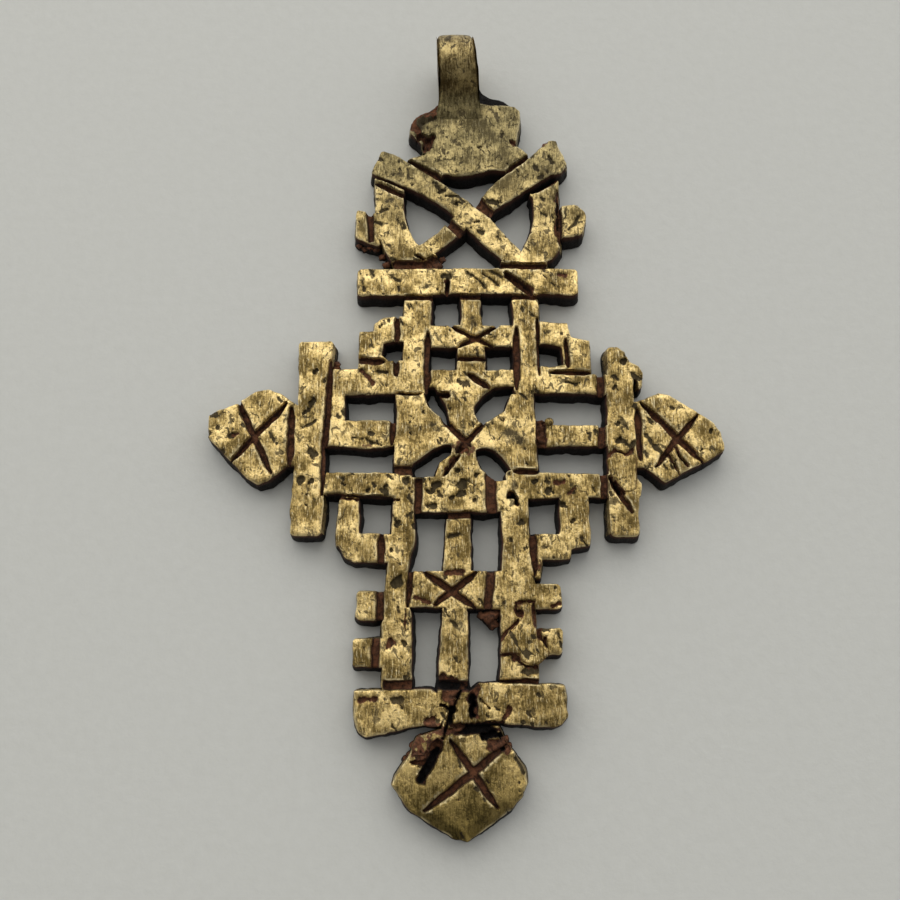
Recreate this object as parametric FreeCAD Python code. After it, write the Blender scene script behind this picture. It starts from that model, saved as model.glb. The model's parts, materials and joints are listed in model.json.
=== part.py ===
"""A hand-cast brass neck cross of interlaced strips, with a solid suspension loop.

The cross lies on its back: X runs across the arms, Y up the shaft to the loop, Z out of the front.
The plan is drawn from the crossing centre.  The finished model is moved so that the origin is
under the middle of its box, on the surface that it rests on.
"""
import FreeCAD, Part
import math
import os

from FreeCAD import Vector

# ---------------------------------------------------------------- driving dimensions, millimetres
THICK = 2.5            # thickness of the cast lattice
GROOVE_DEPTH = 0.7     # depth of the filed grooves
GROOVE_W = 0.6         # usual width of a filed groove
UNDERLAP = 0.7         # how far a strip runs in under the strip that crosses it

BAR_REACH = 13.9       # crossing centre to the inner edge of an end bar
END_BAR_W = 3.2
END_BAR_ABOVE = 10.4   # end bar, crossing centre to its top
END_BAR_BELOW = 9.4    # end bar, crossing centre to its foot
TERMINAL_OUT = 8.7     # how far a side point stands out of its end bar
TERMINAL_H = 9.8       # height of a side point
TERMINAL_FOOT = -4.1   # lowest corner of a side point

ARM_W = 2.6            # each of the three strips of an arm
ARM_GAP = 2.8          # window between two strips of an arm
MID_ARM_Y = 1.15       # centre line of the middle strip above the crossing centre

RAIL_W = 2.7           # long vertical strips of the shaft
RAIL_OFF = 5.6         # rail centre line to the axis of its lattice
UPPER_AXIS = 0.75      # the upper lattice stands this far to the right
LOWER_AXIS = -0.75     # and the lower lattice this far to the left
POST_W = 2.3           # short posts between the rails

UPPER_POST_LOW = 2.4   # upper arm to the small plate
UPPER_PLATE_H = 2.5
UPPER_POST_TOP = 3.4   # small plate to the crossbar
CROSSBAR_W = 3.0
CROSSBAR_HALF = 11.5
CROSSBAR_X = 0.35      # middle of the crossbar

WING_HALF = 7.0        # half width of the four-winged centre
WING_FOOT = 7.0        # crossing centre to the foot of the bottom wing
LOWER_POST_TOP = 5.8   # bottom wing to the large plate
LOWER_PLATE_H = 3.6
LOWER_POST_FOOT = 7.4  # large plate to the foot bar
FOOT_BAR_W = 3.4
FOOT_BAR_HALF = 9.9
FOOT_GAP = 0.6         # groove between the foot bar and the foot point
FOOT_TERMINAL_L = 9.3
FOOT_TERMINAL_W = 12.5
POINT_X = -6.9         # left corner of the foot point
BREAK_X = -1.2         # where the foot bar is broken through

EAR_W = 5.6            # how far a stepped ear stands out of its rail
EAR_H = 5.8
EAR_STRIP = 2.2
NUB_W = 2.6
NUB_H = 2.7

HEAD_X = 0.35          # axis of the head
HOOP_HALF = 9.9        # axis of the head to the outside of a hoop
HOOP_W = 3.3
HOOP_H = 10.4          # crossbar to the shoulder of a hoop
STRAP_W = 2.5          # the two crossed straps of the head
SHORT_STRAP_OUT = 10.3 # the strap on the right, from under the long one out to its end
SHORT_STRAP_UP = 9.4
HEAD_NUB_W = 2.4

NECK_W = 14.2
NECK_H = 9.7
NECK_X = -6.7          # left edge of the neck plate
NECK_RISE = 10.4       # crossbar to the foot of the neck plate

LOOP_R = 3.4           # outside of the suspension loop
LOOP_BORE_R = 1.9
LOOP_W = 4.4
LOOP_X = -0.6
LOOP_NECK = 0.5        # neck plate to the near side of the loop

PATCH_THICK = 0.2      # flowed metal standing on a strip
BAR_PATCH_H = 5.3      # height of the spill on the right end bar
RAIL_PATCH_H = 6.0     # height of the spill on the lower right rail
EDGE_WEAR = 0.25       # worn corner of a strip's end

# ---------------------------------------------------------------- stations up the shaft
MID_TOP = MID_ARM_Y + ARM_W / 2
MID_FOOT = MID_ARM_Y - ARM_W / 2
UPPER_FOOT = MID_TOP + ARM_GAP
UPPER_TOP = UPPER_FOOT + ARM_W
LOWER_TOP = MID_FOOT - ARM_GAP
LOWER_FOOT = LOWER_TOP - ARM_W
PLATE_FOOT = UPPER_TOP + UPPER_POST_LOW
PLATE_TOP = PLATE_FOOT + UPPER_PLATE_H
BAR_FOOT = PLATE_TOP + UPPER_POST_TOP
BAR_TOP = BAR_FOOT + CROSSBAR_W
NECK_FOOT = BAR_TOP + NECK_RISE
NECK_TOP = NECK_FOOT + NECK_H
LOOP_Y = NECK_TOP + LOOP_NECK + LOOP_R
BIG_PLATE_TOP = -WING_FOOT - LOWER_POST_TOP
BIG_PLATE_FOOT = BIG_PLATE_TOP - LOWER_PLATE_H
FOOT_TOP = BIG_PLATE_FOOT - LOWER_POST_FOOT
FOOT_FOOT = FOOT_TOP - FOOT_BAR_W
POINT_TOP = FOOT_FOOT - FOOT_GAP
POINT_FOOT = POINT_TOP - FOOT_TERMINAL_L

# ---------------------------------------------------------------- stations across the arms
BAR_OUT = BAR_REACH + END_BAR_W
UPPER_LEFT = UPPER_AXIS - RAIL_OFF
UPPER_RIGHT = UPPER_AXIS + RAIL_OFF
LOWER_LEFT = LOWER_AXIS - RAIL_OFF
LOWER_RIGHT = LOWER_AXIS + RAIL_OFF
HALF_RAIL = RAIL_W / 2

# ---------------------------------------------------------------- points shared by the four wings
CENTRE = (0.0, 0.35)
LEAF_TIP_LEFT = (-1.45, MID_TOP - 0.6)
LEAF_TIP_RIGHT = (1.9, MID_TOP - 0.3)
LOWER_TIP_LEFT = (-1.25, -0.55)
LOWER_TIP_RIGHT = (1.15, -0.75)

members = {}           # plan of each strip, in the order in which they lie over each other
solids = {}


# ---------------------------------------------------------------- drawing helpers
def outline(points):
    """A closed face.  A point is (x, y); ("arc", middle, end) bends round to its end."""
    edges = []
    start = points[0]
    here = start
    for leg in list(points[1:]) + [start]:
        if leg[0] == "arc":
            middle, end = leg[1], leg[2]
            edges.append(Part.Arc(at(here), at(middle), at(end)).toShape())
        else:
            end = leg
            if math.dist(here, end) < 1e-6:
                continue
            edges.append(Part.LineSegment(at(here), at(end)).toShape())
        here = end
    return Part.Face(Part.Wire(edges))


def at(point, z=0.0):
    return Vector(point[0], point[1], z)


def drawn(x, y, width, height, shape):
    """A hand-cut outline: its shape is given in shares of its own width and height."""
    return outline([(x + width * across, y + height * up) for across, up in shape])


def strip(*stations):
    """A strip along its centre line: each station is (x, y, width)."""
    left, right = [], []
    for place, (x, y, width) in enumerate(stations):
        before = stations[max(place - 1, 0)]
        after = stations[min(place + 1, len(stations) - 1)]
        run = Vector(after[0] - before[0], after[1] - before[1], 0).normalize()
        side = Vector(-run.y, run.x, 0) * (width / 2)
        left.append((x + side.x, y + side.y))
        right.append((x - side.x, y - side.y))
    return worn(left + right[::-1])


def worn(corners):
    """A straight-sided outline whose sharp corners are cut back a little by wear."""
    points = []
    for place, corner in enumerate(corners):
        before = Vector(*corners[place - 1], 0)
        here = Vector(*corner, 0)
        after = Vector(*corners[(place + 1) % len(corners)], 0)
        turn = (here - before).getAngle(after - here)
        if turn < math.radians(40):
            points.append((here.x, here.y))
            continue
        for neighbour in (before, after):
            cut = min(EDGE_WEAR, (neighbour - here).Length / 3)
            corner_point = here + (neighbour - here).normalize() * cut
            points.append((corner_point.x, corner_point.y))
    return outline(points)


def block(left, foot, right, top):
    return worn([(left, foot), (right, foot), (right, top), (left, top)])


def lay(name, plan):
    """Adds a member under all those laid before it: it stops at their edges."""
    for over in members.values():
        if over.BoundBox.intersect(plan.BoundBox):
            plan = plan.cut(over)
    faces = sorted(plan.Faces, key=lambda face: face.Area)
    members[name] = faces[-1]


def groove(start, end, names, width=GROOVE_W, depth=GROOVE_DEPTH, blunt=False):
    """Files a straight groove into the named members.  Its ends taper unless they are blunt."""
    begin, finish = at(start, THICK - depth), at(end, THICK - depth)
    run = finish - begin
    side = Vector(-run.y, run.x, 0).normalize() * (width / 2)
    stroke = [(0.0, 1.0), (1.0, 1.0)] if blunt else [(0.0, 0.3), (0.2, 1.0), (0.8, 1.0), (1.0, 0.3)]
    corners = [begin + run * along + side * share for along, share in stroke]
    corners += [begin + run * along - side * share for along, share in reversed(stroke)]
    cutter = Part.Face(Part.makePolygon(corners + corners[:1])).extrude(Vector(0, 0, 2 * depth))
    for name in names:
        solids[name] = solids[name].cut(cutter)


# ---------------------------------------------------------------- head
def lay_head():
    """Two crossed straps over a pair of hoops, with the neck plate between the strap ends."""
    base = BAR_TOP
    left, right = HEAD_X - HOOP_HALF, HEAD_X + HOOP_HALF
    lay("head_strap_over", strip(
        (left, base + 12.8, STRAP_W + 0.3), (HEAD_X - 8.1, base + 12.1, STRAP_W + 0.6),
        (HEAD_X - 6.5, base + 11.2, STRAP_W + 0.2), (HEAD_X - 3.9, base + 9.6, STRAP_W - 0.2),
        (HEAD_X - 1.5, base + 7.9, STRAP_W - 0.4), (HEAD_X + 1.1, base + 5.4, STRAP_W + 0.1),
        (HEAD_X + 3.0, base + 3.3, STRAP_W - 0.1), (HEAD_X + 5.0, base + 1.2, STRAP_W - 0.3)))
    lay("head_strap_under_right", drawn(HEAD_X + 0.55, base + 6.05, SHORT_STRAP_OUT, SHORT_STRAP_UP, [
        (0.00, 0.13), (0.15, 0.33), (0.30, 0.49), (0.54, 0.71), (0.63, 0.79), (0.75, 0.93),
        (0.75, 0.97), (0.83, 1.00), (0.89, 0.99), (0.93, 0.88), (1.00, 0.67), (0.94, 0.56),
        (0.83, 0.55), (0.64, 0.41), (0.40, 0.22), (0.23, 0.10), (0.16, 0.00)]))
    lay("head_strap_under_left", strip(
        (HEAD_X - 0.4, base + 5.9, STRAP_W - 0.6), (HEAD_X - 2.4, base + 3.8, STRAP_W - 0.8),
        (HEAD_X - 4.9, base + 1.6, STRAP_W - 0.8)))
    lay("neck_plate", drawn(NECK_X, NECK_FOOT, NECK_W, NECK_H, [
        (0.27, 1.00), (0.20, 0.92), (0.13, 0.87), (0.08, 0.80), (0.06, 0.70), (0.06, 0.62),
        (0.11, 0.54), (0.15, 0.45), (0.15, 0.39), (0.18, 0.36), (0.00, 0.26), (0.05, 0.12),
        (0.26, 0.00), (0.32, 0.10), (0.40, 0.07), (0.54, 0.09), (0.68, 0.13), (0.79, 0.13),
        (0.89, 0.10), (1.00, 0.30), (0.94, 0.39), (0.87, 0.45), (0.89, 0.61), (0.91, 0.76),
        (0.91, 0.90), (0.87, 0.96), (0.79, 0.98), (0.68, 0.97), (0.61, 1.00)]))
    lay("left_hoop", outline([
        (left, base + HOOP_H + 0.4), (left + 0.1, base + 6.0), (left + 0.7, base + 3.4),
        ("arc", (left + 1.2, base + 2.2), (left + 1.9, base + 1.0)), (left + 2.6, base - UNDERLAP),
        (HEAD_X - 3.0, base - UNDERLAP), (HEAD_X - 3.1, base + 1.4), (HEAD_X - 5.4, base + 3.0),
        ("arc", (left + HOOP_W + 0.1, base + 5.4), (left + HOOP_W - 0.2, base + HOOP_H - 1.0))]))
    lay("right_hoop", outline([
        (right, base + HOOP_H + 0.6), (right + 0.1, base + 3.4),
        ("arc", (right - 0.4, base + 1.8), (right - 1.6, base + 0.9)), (right - 1.6, base - UNDERLAP),
        (HEAD_X + 3.4, base - UNDERLAP), (HEAD_X + 3.5, base + 1.0), (HEAD_X + 5.6, base + 1.9),
        ("arc", (right - HOOP_W + 0.1, base + 4.0), (right - HOOP_W + 0.4, base + HOOP_H - 2.0)),
        (right - HOOP_W, base + HOOP_H - 1.6)]))
    lay("left_head_nub", worn([
        (left - HEAD_NUB_W + 0.4, base + 3.5), (left + UNDERLAP, base + 2.6),
        (left + UNDERLAP, base + 6.4), (left - HEAD_NUB_W + 0.5, base + 6.9)]))
    lay("right_head_nub", worn([
        (right - UNDERLAP, base + 3.6), (right + HEAD_NUB_W, base + 4.0),
        (right + HEAD_NUB_W + 0.4, base + 6.4), (right + HEAD_NUB_W - 0.6, base + 7.6),
        (right - UNDERLAP, base + 7.2)]))


def file_head():
    base = BAR_TOP
    left, right = HEAD_X - HOOP_HALF, HEAD_X + HOOP_HALF
    neck_left, neck_right = (NECK_X - 0.2, NECK_FOOT + 2.7), (NECK_X + NECK_W + 0.2, NECK_FOOT + 3.3)
    groove(neck_left, (HEAD_X - 2.6, NECK_FOOT + 0.2), ["neck_plate"], width=0.9)
    groove((HEAD_X + 4.3, NECK_FOOT + 1.0), neck_right, ["neck_plate"], width=0.8)
    groove((left - 0.2, base + 10.3), (left + HOOP_W + 0.3, base + 8.4), ["left_hoop"])
    groove((right - HOOP_W, base + 9.0), (right + 0.2, base + 11.0), ["right_hoop"], width=0.8)
    groove((HEAD_X + 0.6, base + 8.4), (HEAD_X + 2.9, base + 5.9), ["head_strap_under_right"],
           width=1.2)
    groove((HEAD_X - 2.2, base + 5.8), (HEAD_X - 0.2, base + 3.6), ["head_strap_under_left"], width=0.9)
    groove((left - 0.3, base + 3.2), (left - 0.5, base + 7.0), ["left_head_nub"], blunt=True)
    groove((right, base + 2.6), (right - 0.1, base + 9.3), ["right_hoop", "right_head_nub"], width=0.5)
    groove((left + 1.6, base + 0.45), (HEAD_X - 2.6, base + 0.55), ["left_hoop"], width=0.9, blunt=True)
    groove((HEAD_X + 3.0, base + 0.35), (right - 1.3, base + 0.35), ["right_hoop"], width=0.7,
           blunt=True)
    groove((left + 4.5, base + 1.5), (HEAD_X - 2.2, base + 1.0), ["left_hoop"], width=0.5)


def make_loop():
    """The loop rises out of the neck plate and rolls over; a low gusset fills the corner on its right."""
    toe_run, toe_rise = LOOP_Y - NECK_TOP, LOOP_R - THICK
    reach = math.hypot(toe_run, toe_rise)
    slope = math.atan2(toe_rise, toe_run) + math.asin(LOOP_R / reach)
    tangent = math.sqrt(reach ** 2 - LOOP_R ** 2)
    left, right = LOOP_X - LOOP_W / 2, LOOP_X + LOOP_W / 2
    toe = Vector(left, NECK_TOP, THICK)
    shoulder = toe + Vector(0, math.cos(slope), math.sin(slope)) * tangent
    crown = Vector(left, LOOP_Y + LOOP_R, LOOP_R)
    rest = Vector(left, LOOP_Y, 0)
    heel = Vector(left, NECK_TOP, 0)
    profile = Part.Wire([
        Part.LineSegment(toe, shoulder).toShape(), Part.Arc(shoulder, crown, rest).toShape(),
        Part.LineSegment(rest, heel).toShape(), Part.LineSegment(heel, toe).toShape()])
    body = Part.Face(profile).extrude(Vector(LOOP_W, 0, 0))
    bore = Part.makeCylinder(LOOP_BORE_R, 2 * LOOP_W, Vector(left - LOOP_W / 2, LOOP_Y, LOOP_R),
                             Vector(1, 0, 0))
    solids["suspension_loop"] = body.cut(bore)
    plate_right = NECK_X + 0.87 * NECK_W
    gusset = outline([
        (right, NECK_TOP + 3.4), (right, NECK_TOP - 0.5), (plate_right, NECK_TOP - 0.5),
        (plate_right, NECK_TOP + 0.3), (right + 2.9, NECK_TOP + 1.2), (right + 1.4, NECK_TOP + 1.5),
        (right + 0.6, NECK_TOP + 2.2), (right + 0.3, NECK_TOP + 2.8)])
    low = gusset.extrude(Vector(0, 0, THICK - 2 * GROOVE_DEPTH)).cut(solids["neck_plate"])
    solids["neck_gusset"] = max(low.Solids, key=lambda piece: piece.Volume)


# ---------------------------------------------------------------- upper lattice
def lay_upper_lattice():
    """Crossbar, two rails, posts and the small plate with its filed cross."""
    lay("top_crossbar", strip((CROSSBAR_X - CROSSBAR_HALF, BAR_FOOT + 1.4, CROSSBAR_W),
                              (CROSSBAR_X, BAR_FOOT + 1.6, CROSSBAR_W - 0.1),
                              (CROSSBAR_X + CROSSBAR_HALF, BAR_FOOT + 1.5, CROSSBAR_W)))
    lay_head()
    lay("upper_left_rail", strip((UPPER_LEFT - 0.2, UPPER_FOOT, RAIL_W - 0.2),
                                 (UPPER_LEFT + 0.1, BAR_FOOT + UNDERLAP, RAIL_W + 0.2)))
    lay("upper_right_rail", strip((UPPER_RIGHT, UPPER_FOOT, RAIL_W - 0.1),
                                  (UPPER_RIGHT, BAR_FOOT + UNDERLAP, RAIL_W)))
    middle = UPPER_AXIS
    lay("upper_saltire_plate", worn([
        (UPPER_LEFT, PLATE_FOOT), (UPPER_RIGHT, PLATE_FOOT + 0.1), (UPPER_RIGHT, PLATE_TOP - 0.1),
        (UPPER_LEFT, PLATE_TOP)]))
    lay("upper_post_top", strip((middle, PLATE_TOP - UNDERLAP, POST_W),
                                (middle - 0.1, PLATE_TOP + 1.4, POST_W - 0.5),
                                (middle - 0.1, BAR_FOOT + UNDERLAP, POST_W)))
    lay("centre_top_wing", outline([
        (UPPER_LEFT, UPPER_TOP), (UPPER_LEFT, UPPER_TOP - 1.9), (-3.1, UPPER_FOOT + 0.7),
        (-2.6, UPPER_FOOT + 0.1), (-1.9, UPPER_FOOT - 1.2), LEAF_TIP_LEFT, CENTRE, LEAF_TIP_RIGHT,
        (1.4, MID_TOP - 0.2), (1.0, UPPER_FOOT - 2.2), (0.95, UPPER_FOOT - 1.5),
        (1.8, UPPER_FOOT - 0.2), (2.9, UPPER_FOOT + 0.75), (4.4, UPPER_FOOT + 0.85),
        (UPPER_RIGHT, UPPER_FOOT + 0.6), (UPPER_RIGHT, UPPER_TOP)]))
    lay("upper_post_low", strip((middle - 0.1, UPPER_TOP - UNDERLAP, POST_W + 0.6),
                                (middle - 0.1, PLATE_FOOT + UNDERLAP, POST_W + 0.3)))
    outer = UPPER_LEFT - HALF_RAIL + UNDERLAP
    reach = UPPER_LEFT - HALF_RAIL - EAR_W
    top = UPPER_TOP + EAR_H
    lay("left_upper_ear", outline([
        (outer, UPPER_TOP - UNDERLAP), (outer, UPPER_TOP + 0.9), (outer - 2.2, UPPER_TOP + 0.9),
        (outer - 3.0, UPPER_TOP + 1.6), (outer - 2.8, UPPER_TOP + 2.9), (outer - 1.3, UPPER_TOP + 3.1),
        (outer, UPPER_TOP + 2.9), (outer, top), (reach + 3.4, top), (reach + 2.5, top - 0.7),
        (reach + 2.5, top - 1.5), (reach + 1.0, top - 1.7), (reach + 0.9, UPPER_TOP - UNDERLAP)]))
    outer = UPPER_RIGHT + HALF_RAIL - UNDERLAP
    reach = UPPER_RIGHT + HALF_RAIL + EAR_W
    lay("right_upper_ear", outline([
        (outer, UPPER_TOP - UNDERLAP), (outer, UPPER_TOP + 0.4), (outer + 1.6, UPPER_TOP + 0.3),
        (outer + 3.2, UPPER_TOP + 0.6), (outer + 3.0, UPPER_TOP + 2.6), (outer + 1.0, UPPER_TOP + 2.8),
        (outer, UPPER_TOP + 2.6), (outer, top - 0.5), (reach - 2.7, top - 0.6),
        (reach - 2.3, top - 2.3), (reach - 0.4, top - 2.6), (reach - 0.5, UPPER_TOP - UNDERLAP)]))


def file_upper_lattice():
    under_bar = BAR_FOOT - 0.25
    groove((UPPER_LEFT - 1.6, under_bar), (UPPER_RIGHT + 1.6, under_bar),
           ["upper_left_rail", "upper_right_rail", "upper_post_top"], width=0.5, blunt=True)
    groove((UPPER_LEFT + 1.1, UPPER_TOP + 4.2), (UPPER_LEFT + 0.95, UPPER_FOOT + 0.1),
           ["upper_left_rail", "upper_saltire_plate", "centre_top_wing"], width=0.65)
    groove((-2.7, UPPER_FOOT - 0.2), (-1.4, UPPER_FOOT - 0.2), ["centre_top_wing"])
    groove((UPPER_RIGHT - 1.0, UPPER_TOP + 4.7), (UPPER_RIGHT - 1.0, UPPER_FOOT + 0.4),
           ["upper_right_rail"])
    groove((UPPER_RIGHT + 1.2, BAR_FOOT - 2.5), (UPPER_RIGHT + 1.3, UPPER_TOP - 0.6),
           ["upper_right_rail"], width=0.4)
    groove((CROSSBAR_X + 3.9, BAR_TOP - 0.4), (CROSSBAR_X + 6.9, BAR_FOOT), ["top_crossbar"], width=0.8)
    groove((CROSSBAR_X - 2.1, BAR_FOOT + 1.8), (CROSSBAR_X - 2.2, BAR_FOOT - 0.1), ["top_crossbar"],
           width=0.4)
    left, right = UPPER_AXIS - 2.8, UPPER_AXIS + 2.8
    groove((left + 0.4, PLATE_TOP), (right - 0.5, PLATE_FOOT), ["upper_saltire_plate"], width=0.4)
    groove((left + 1.2, PLATE_FOOT - 0.1), (right, PLATE_TOP), ["upper_saltire_plate"], width=0.4)
    post_middle = UPPER_TOP + UPPER_POST_LOW / 2
    groove((UPPER_AXIS - 1.7, post_middle), (UPPER_AXIS + 1.5, post_middle), ["upper_post_low"],
           width=0.4)
    groove((0.3, UPPER_TOP - 0.4), (2.5, UPPER_FOOT + 0.7), ["centre_top_wing"])
    edge = UPPER_LEFT - HALF_RAIL - 0.7
    groove((edge, UPPER_TOP + EAR_H), (edge - 0.1, UPPER_TOP + 2.9), ["left_upper_ear"], width=0.5)
    groove((edge - 0.1, UPPER_TOP + 1.0), (edge - 0.1, UPPER_TOP - UNDERLAP), ["left_upper_ear"],
           width=0.5)
    groove((edge - 4.3, UPPER_TOP + 1.1), (edge - 1.2, UPPER_TOP + 0.9), ["left_upper_ear"], width=0.7)
    edge = UPPER_RIGHT + HALF_RAIL
    groove((edge + 0.9, UPPER_TOP - 0.3), (edge + 5.2, UPPER_TOP - 0.4), ["right_upper_ear"], width=0.5)
    groove((edge + 2.7, UPPER_TOP + 3.4), (edge + 2.9, UPPER_TOP + 0.2), ["right_upper_ear"], width=0.4)


# ---------------------------------------------------------------- arms
def lay_arms():
    """Two end bars, and three strips out to each of them."""
    lay("left_end_bar", strip((-BAR_OUT + 1.9, END_BAR_ABOVE + 0.5, END_BAR_W + 0.4),
                              (-BAR_OUT + 1.7, MID_TOP - 0.45, END_BAR_W - 0.5),
                              (-BAR_OUT + 1.6, LOWER_FOOT - 0.45, END_BAR_W),
                              (-BAR_OUT + 1.6, -END_BAR_BELOW, END_BAR_W - 0.1)))
    lay("right_end_bar", worn([
        (BAR_REACH + 0.2, -END_BAR_BELOW), (BAR_OUT - 0.2, -END_BAR_BELOW), (BAR_OUT, LOWER_FOOT - 0.1),
        (BAR_OUT + 0.5, LOWER_FOOT + 1.2), (BAR_OUT - 0.1, LOWER_FOOT + 2.1),
        (BAR_OUT, UPPER_TOP + 0.3), (BAR_OUT - 0.7, END_BAR_ABOVE - 0.6),
        (BAR_OUT - 1.4, END_BAR_ABOVE - 0.1), (BAR_REACH + 0.7, END_BAR_ABOVE - 0.1),
        (BAR_REACH + 0.4, MID_TOP + 0.55)]))
    lay("right_bar_lug", outline([
        (BAR_OUT - UNDERLAP, UPPER_TOP + 1.0), (BAR_OUT + 0.7, UPPER_TOP + 0.4),
        (BAR_OUT + 1.0, UPPER_TOP - 0.3), (BAR_OUT + 0.8, UPPER_FOOT + 0.8),
        (BAR_OUT + 0.5, UPPER_FOOT + 0.4), (BAR_OUT + 0.4, UPPER_TOP - 1.0),
        (BAR_OUT - UNDERLAP, UPPER_TOP - 1.0)]))
    inner = -BAR_REACH - UNDERLAP
    lay("left_upper_arm", worn([
        (inner, UPPER_FOOT - 0.1), (UPPER_LEFT, UPPER_FOOT), (UPPER_LEFT, UPPER_TOP),
        (inner, UPPER_TOP)]))
    lay("right_upper_arm", worn([
        (UPPER_RIGHT, UPPER_FOOT), (-inner, UPPER_FOOT), (-inner, UPPER_TOP - 0.6),
        (UPPER_RIGHT, UPPER_TOP - 0.3)]))
    lay("left_lower_arm", worn([
        (inner, LOWER_FOOT + 0.3), (LOWER_LEFT, LOWER_FOOT), (LOWER_LEFT, LOWER_TOP - 0.1),
        (inner, LOWER_TOP)]))
    lay("centre_left_wing", outline([
        (-WING_HALF, UPPER_FOOT), (-4.15, UPPER_FOOT), (-3.8, UPPER_FOOT - 1.3), (-2.3, MID_TOP),
        LEAF_TIP_LEFT, CENTRE, LOWER_TIP_LEFT, (-1.4, -0.1), (-1.9, -0.1), (-3.1, MID_FOOT - 0.4),
        (-3.9, MID_FOOT - 0.95), (-4.8, MID_FOOT - 1.75), (-5.3, MID_FOOT - 2.15),
        (-5.3, LOWER_TOP - UNDERLAP), (-WING_HALF, LOWER_TOP - UNDERLAP)]))
    lay("centre_right_wing", outline([
        (4.75, UPPER_FOOT), (WING_HALF, UPPER_FOOT), (WING_HALF + 0.2, LOWER_TOP - UNDERLAP),
        (4.9, LOWER_TOP - UNDERLAP), (4.55, LOWER_TOP + 0.15), (3.6, MID_FOOT - 1.15),
        (3.1, MID_FOOT - 0.7), (2.2, MID_FOOT - 0.35), (1.35, MID_FOOT - 0.45), LOWER_TIP_RIGHT, CENTRE,
        LEAF_TIP_RIGHT, (2.5, MID_TOP - 0.15), (4.0, UPPER_FOOT - 1.8)]))
    lay("left_middle_arm", worn([
        (inner, MID_FOOT), (-WING_HALF - 2.8, MID_FOOT - 0.4), (-WING_HALF + UNDERLAP, MID_FOOT),
        (-WING_HALF + UNDERLAP, MID_TOP), (inner, MID_TOP)]))
    lay("right_middle_arm", worn([
        (WING_HALF - UNDERLAP, MID_FOOT - 0.2), (-inner, MID_FOOT - 0.1), (-inner, MID_TOP - 0.5),
        (WING_HALF + 1.4, MID_TOP - 0.5), (WING_HALF + 1.2, MID_TOP + 0.2),
        (WING_HALF - UNDERLAP, MID_TOP + 0.2)]))
    lay("left_arm_link", block(inner, MID_TOP - UNDERLAP, -BAR_REACH + 1.8, UPPER_FOOT + UNDERLAP))
    lay("right_lower_arm", worn([
        (LOWER_RIGHT - 0.8, LOWER_FOOT - 0.1), (-inner, LOWER_FOOT + 0.1), (-inner, LOWER_TOP - 0.2),
        (WING_HALF + 0.2, LOWER_TOP), (LOWER_RIGHT - 0.8, LOWER_TOP + 0.1)]))
    lay("centre_bottom_wing", outline([
        (LOWER_LEFT, -WING_FOOT), (LOWER_RIGHT, -WING_FOOT), (LOWER_RIGHT, LOWER_TOP - 0.9),
        (3.2, LOWER_TOP - 0.9), (2.9, LOWER_TOP - 0.5), (2.5, LOWER_TOP - 0.3),
        (1.65, LOWER_TOP + 0.25), (1.2, MID_FOOT - 1.55),
        LOWER_TIP_RIGHT, CENTRE, LOWER_TIP_LEFT, (-1.35, -1.2), (-2.45, MID_FOOT - 1.95),
        (-2.7, LOWER_TOP + 0.15), (-2.9, LOWER_TOP - 0.5), (LOWER_LEFT, LOWER_TOP - 0.5)]))
    lay("left_terminal", drawn(-BAR_OUT - TERMINAL_OUT, TERMINAL_FOOT, TERMINAL_OUT + UNDERLAP,
                               TERMINAL_H, [
        (0.00, 0.70), (0.06, 0.75), (0.30, 0.85), (0.50, 0.98), (0.63, 1.00), (0.78, 0.94),
        (1.00, 0.80), (1.00, 0.19), (0.85, 0.18), (0.71, 0.05), (0.63, 0.01), (0.55, 0.00),
        (0.46, 0.05), (0.28, 0.22), (0.11, 0.39), (0.02, 0.47)]))
    lay("right_terminal", drawn(BAR_OUT - UNDERLAP, TERMINAL_FOOT, TERMINAL_OUT + UNDERLAP, TERMINAL_H,
                                [
        (0.00, 0.88), (0.10, 0.87), (0.34, 0.97), (0.46, 0.94), (0.65, 0.81), (0.91, 0.63),
        (0.98, 0.54), (1.00, 0.43), (1.00, 0.34), (0.80, 0.23), (0.57, 0.12), (0.36, 0.00),
        (0.16, 0.16), (0.00, 0.17)]))


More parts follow.
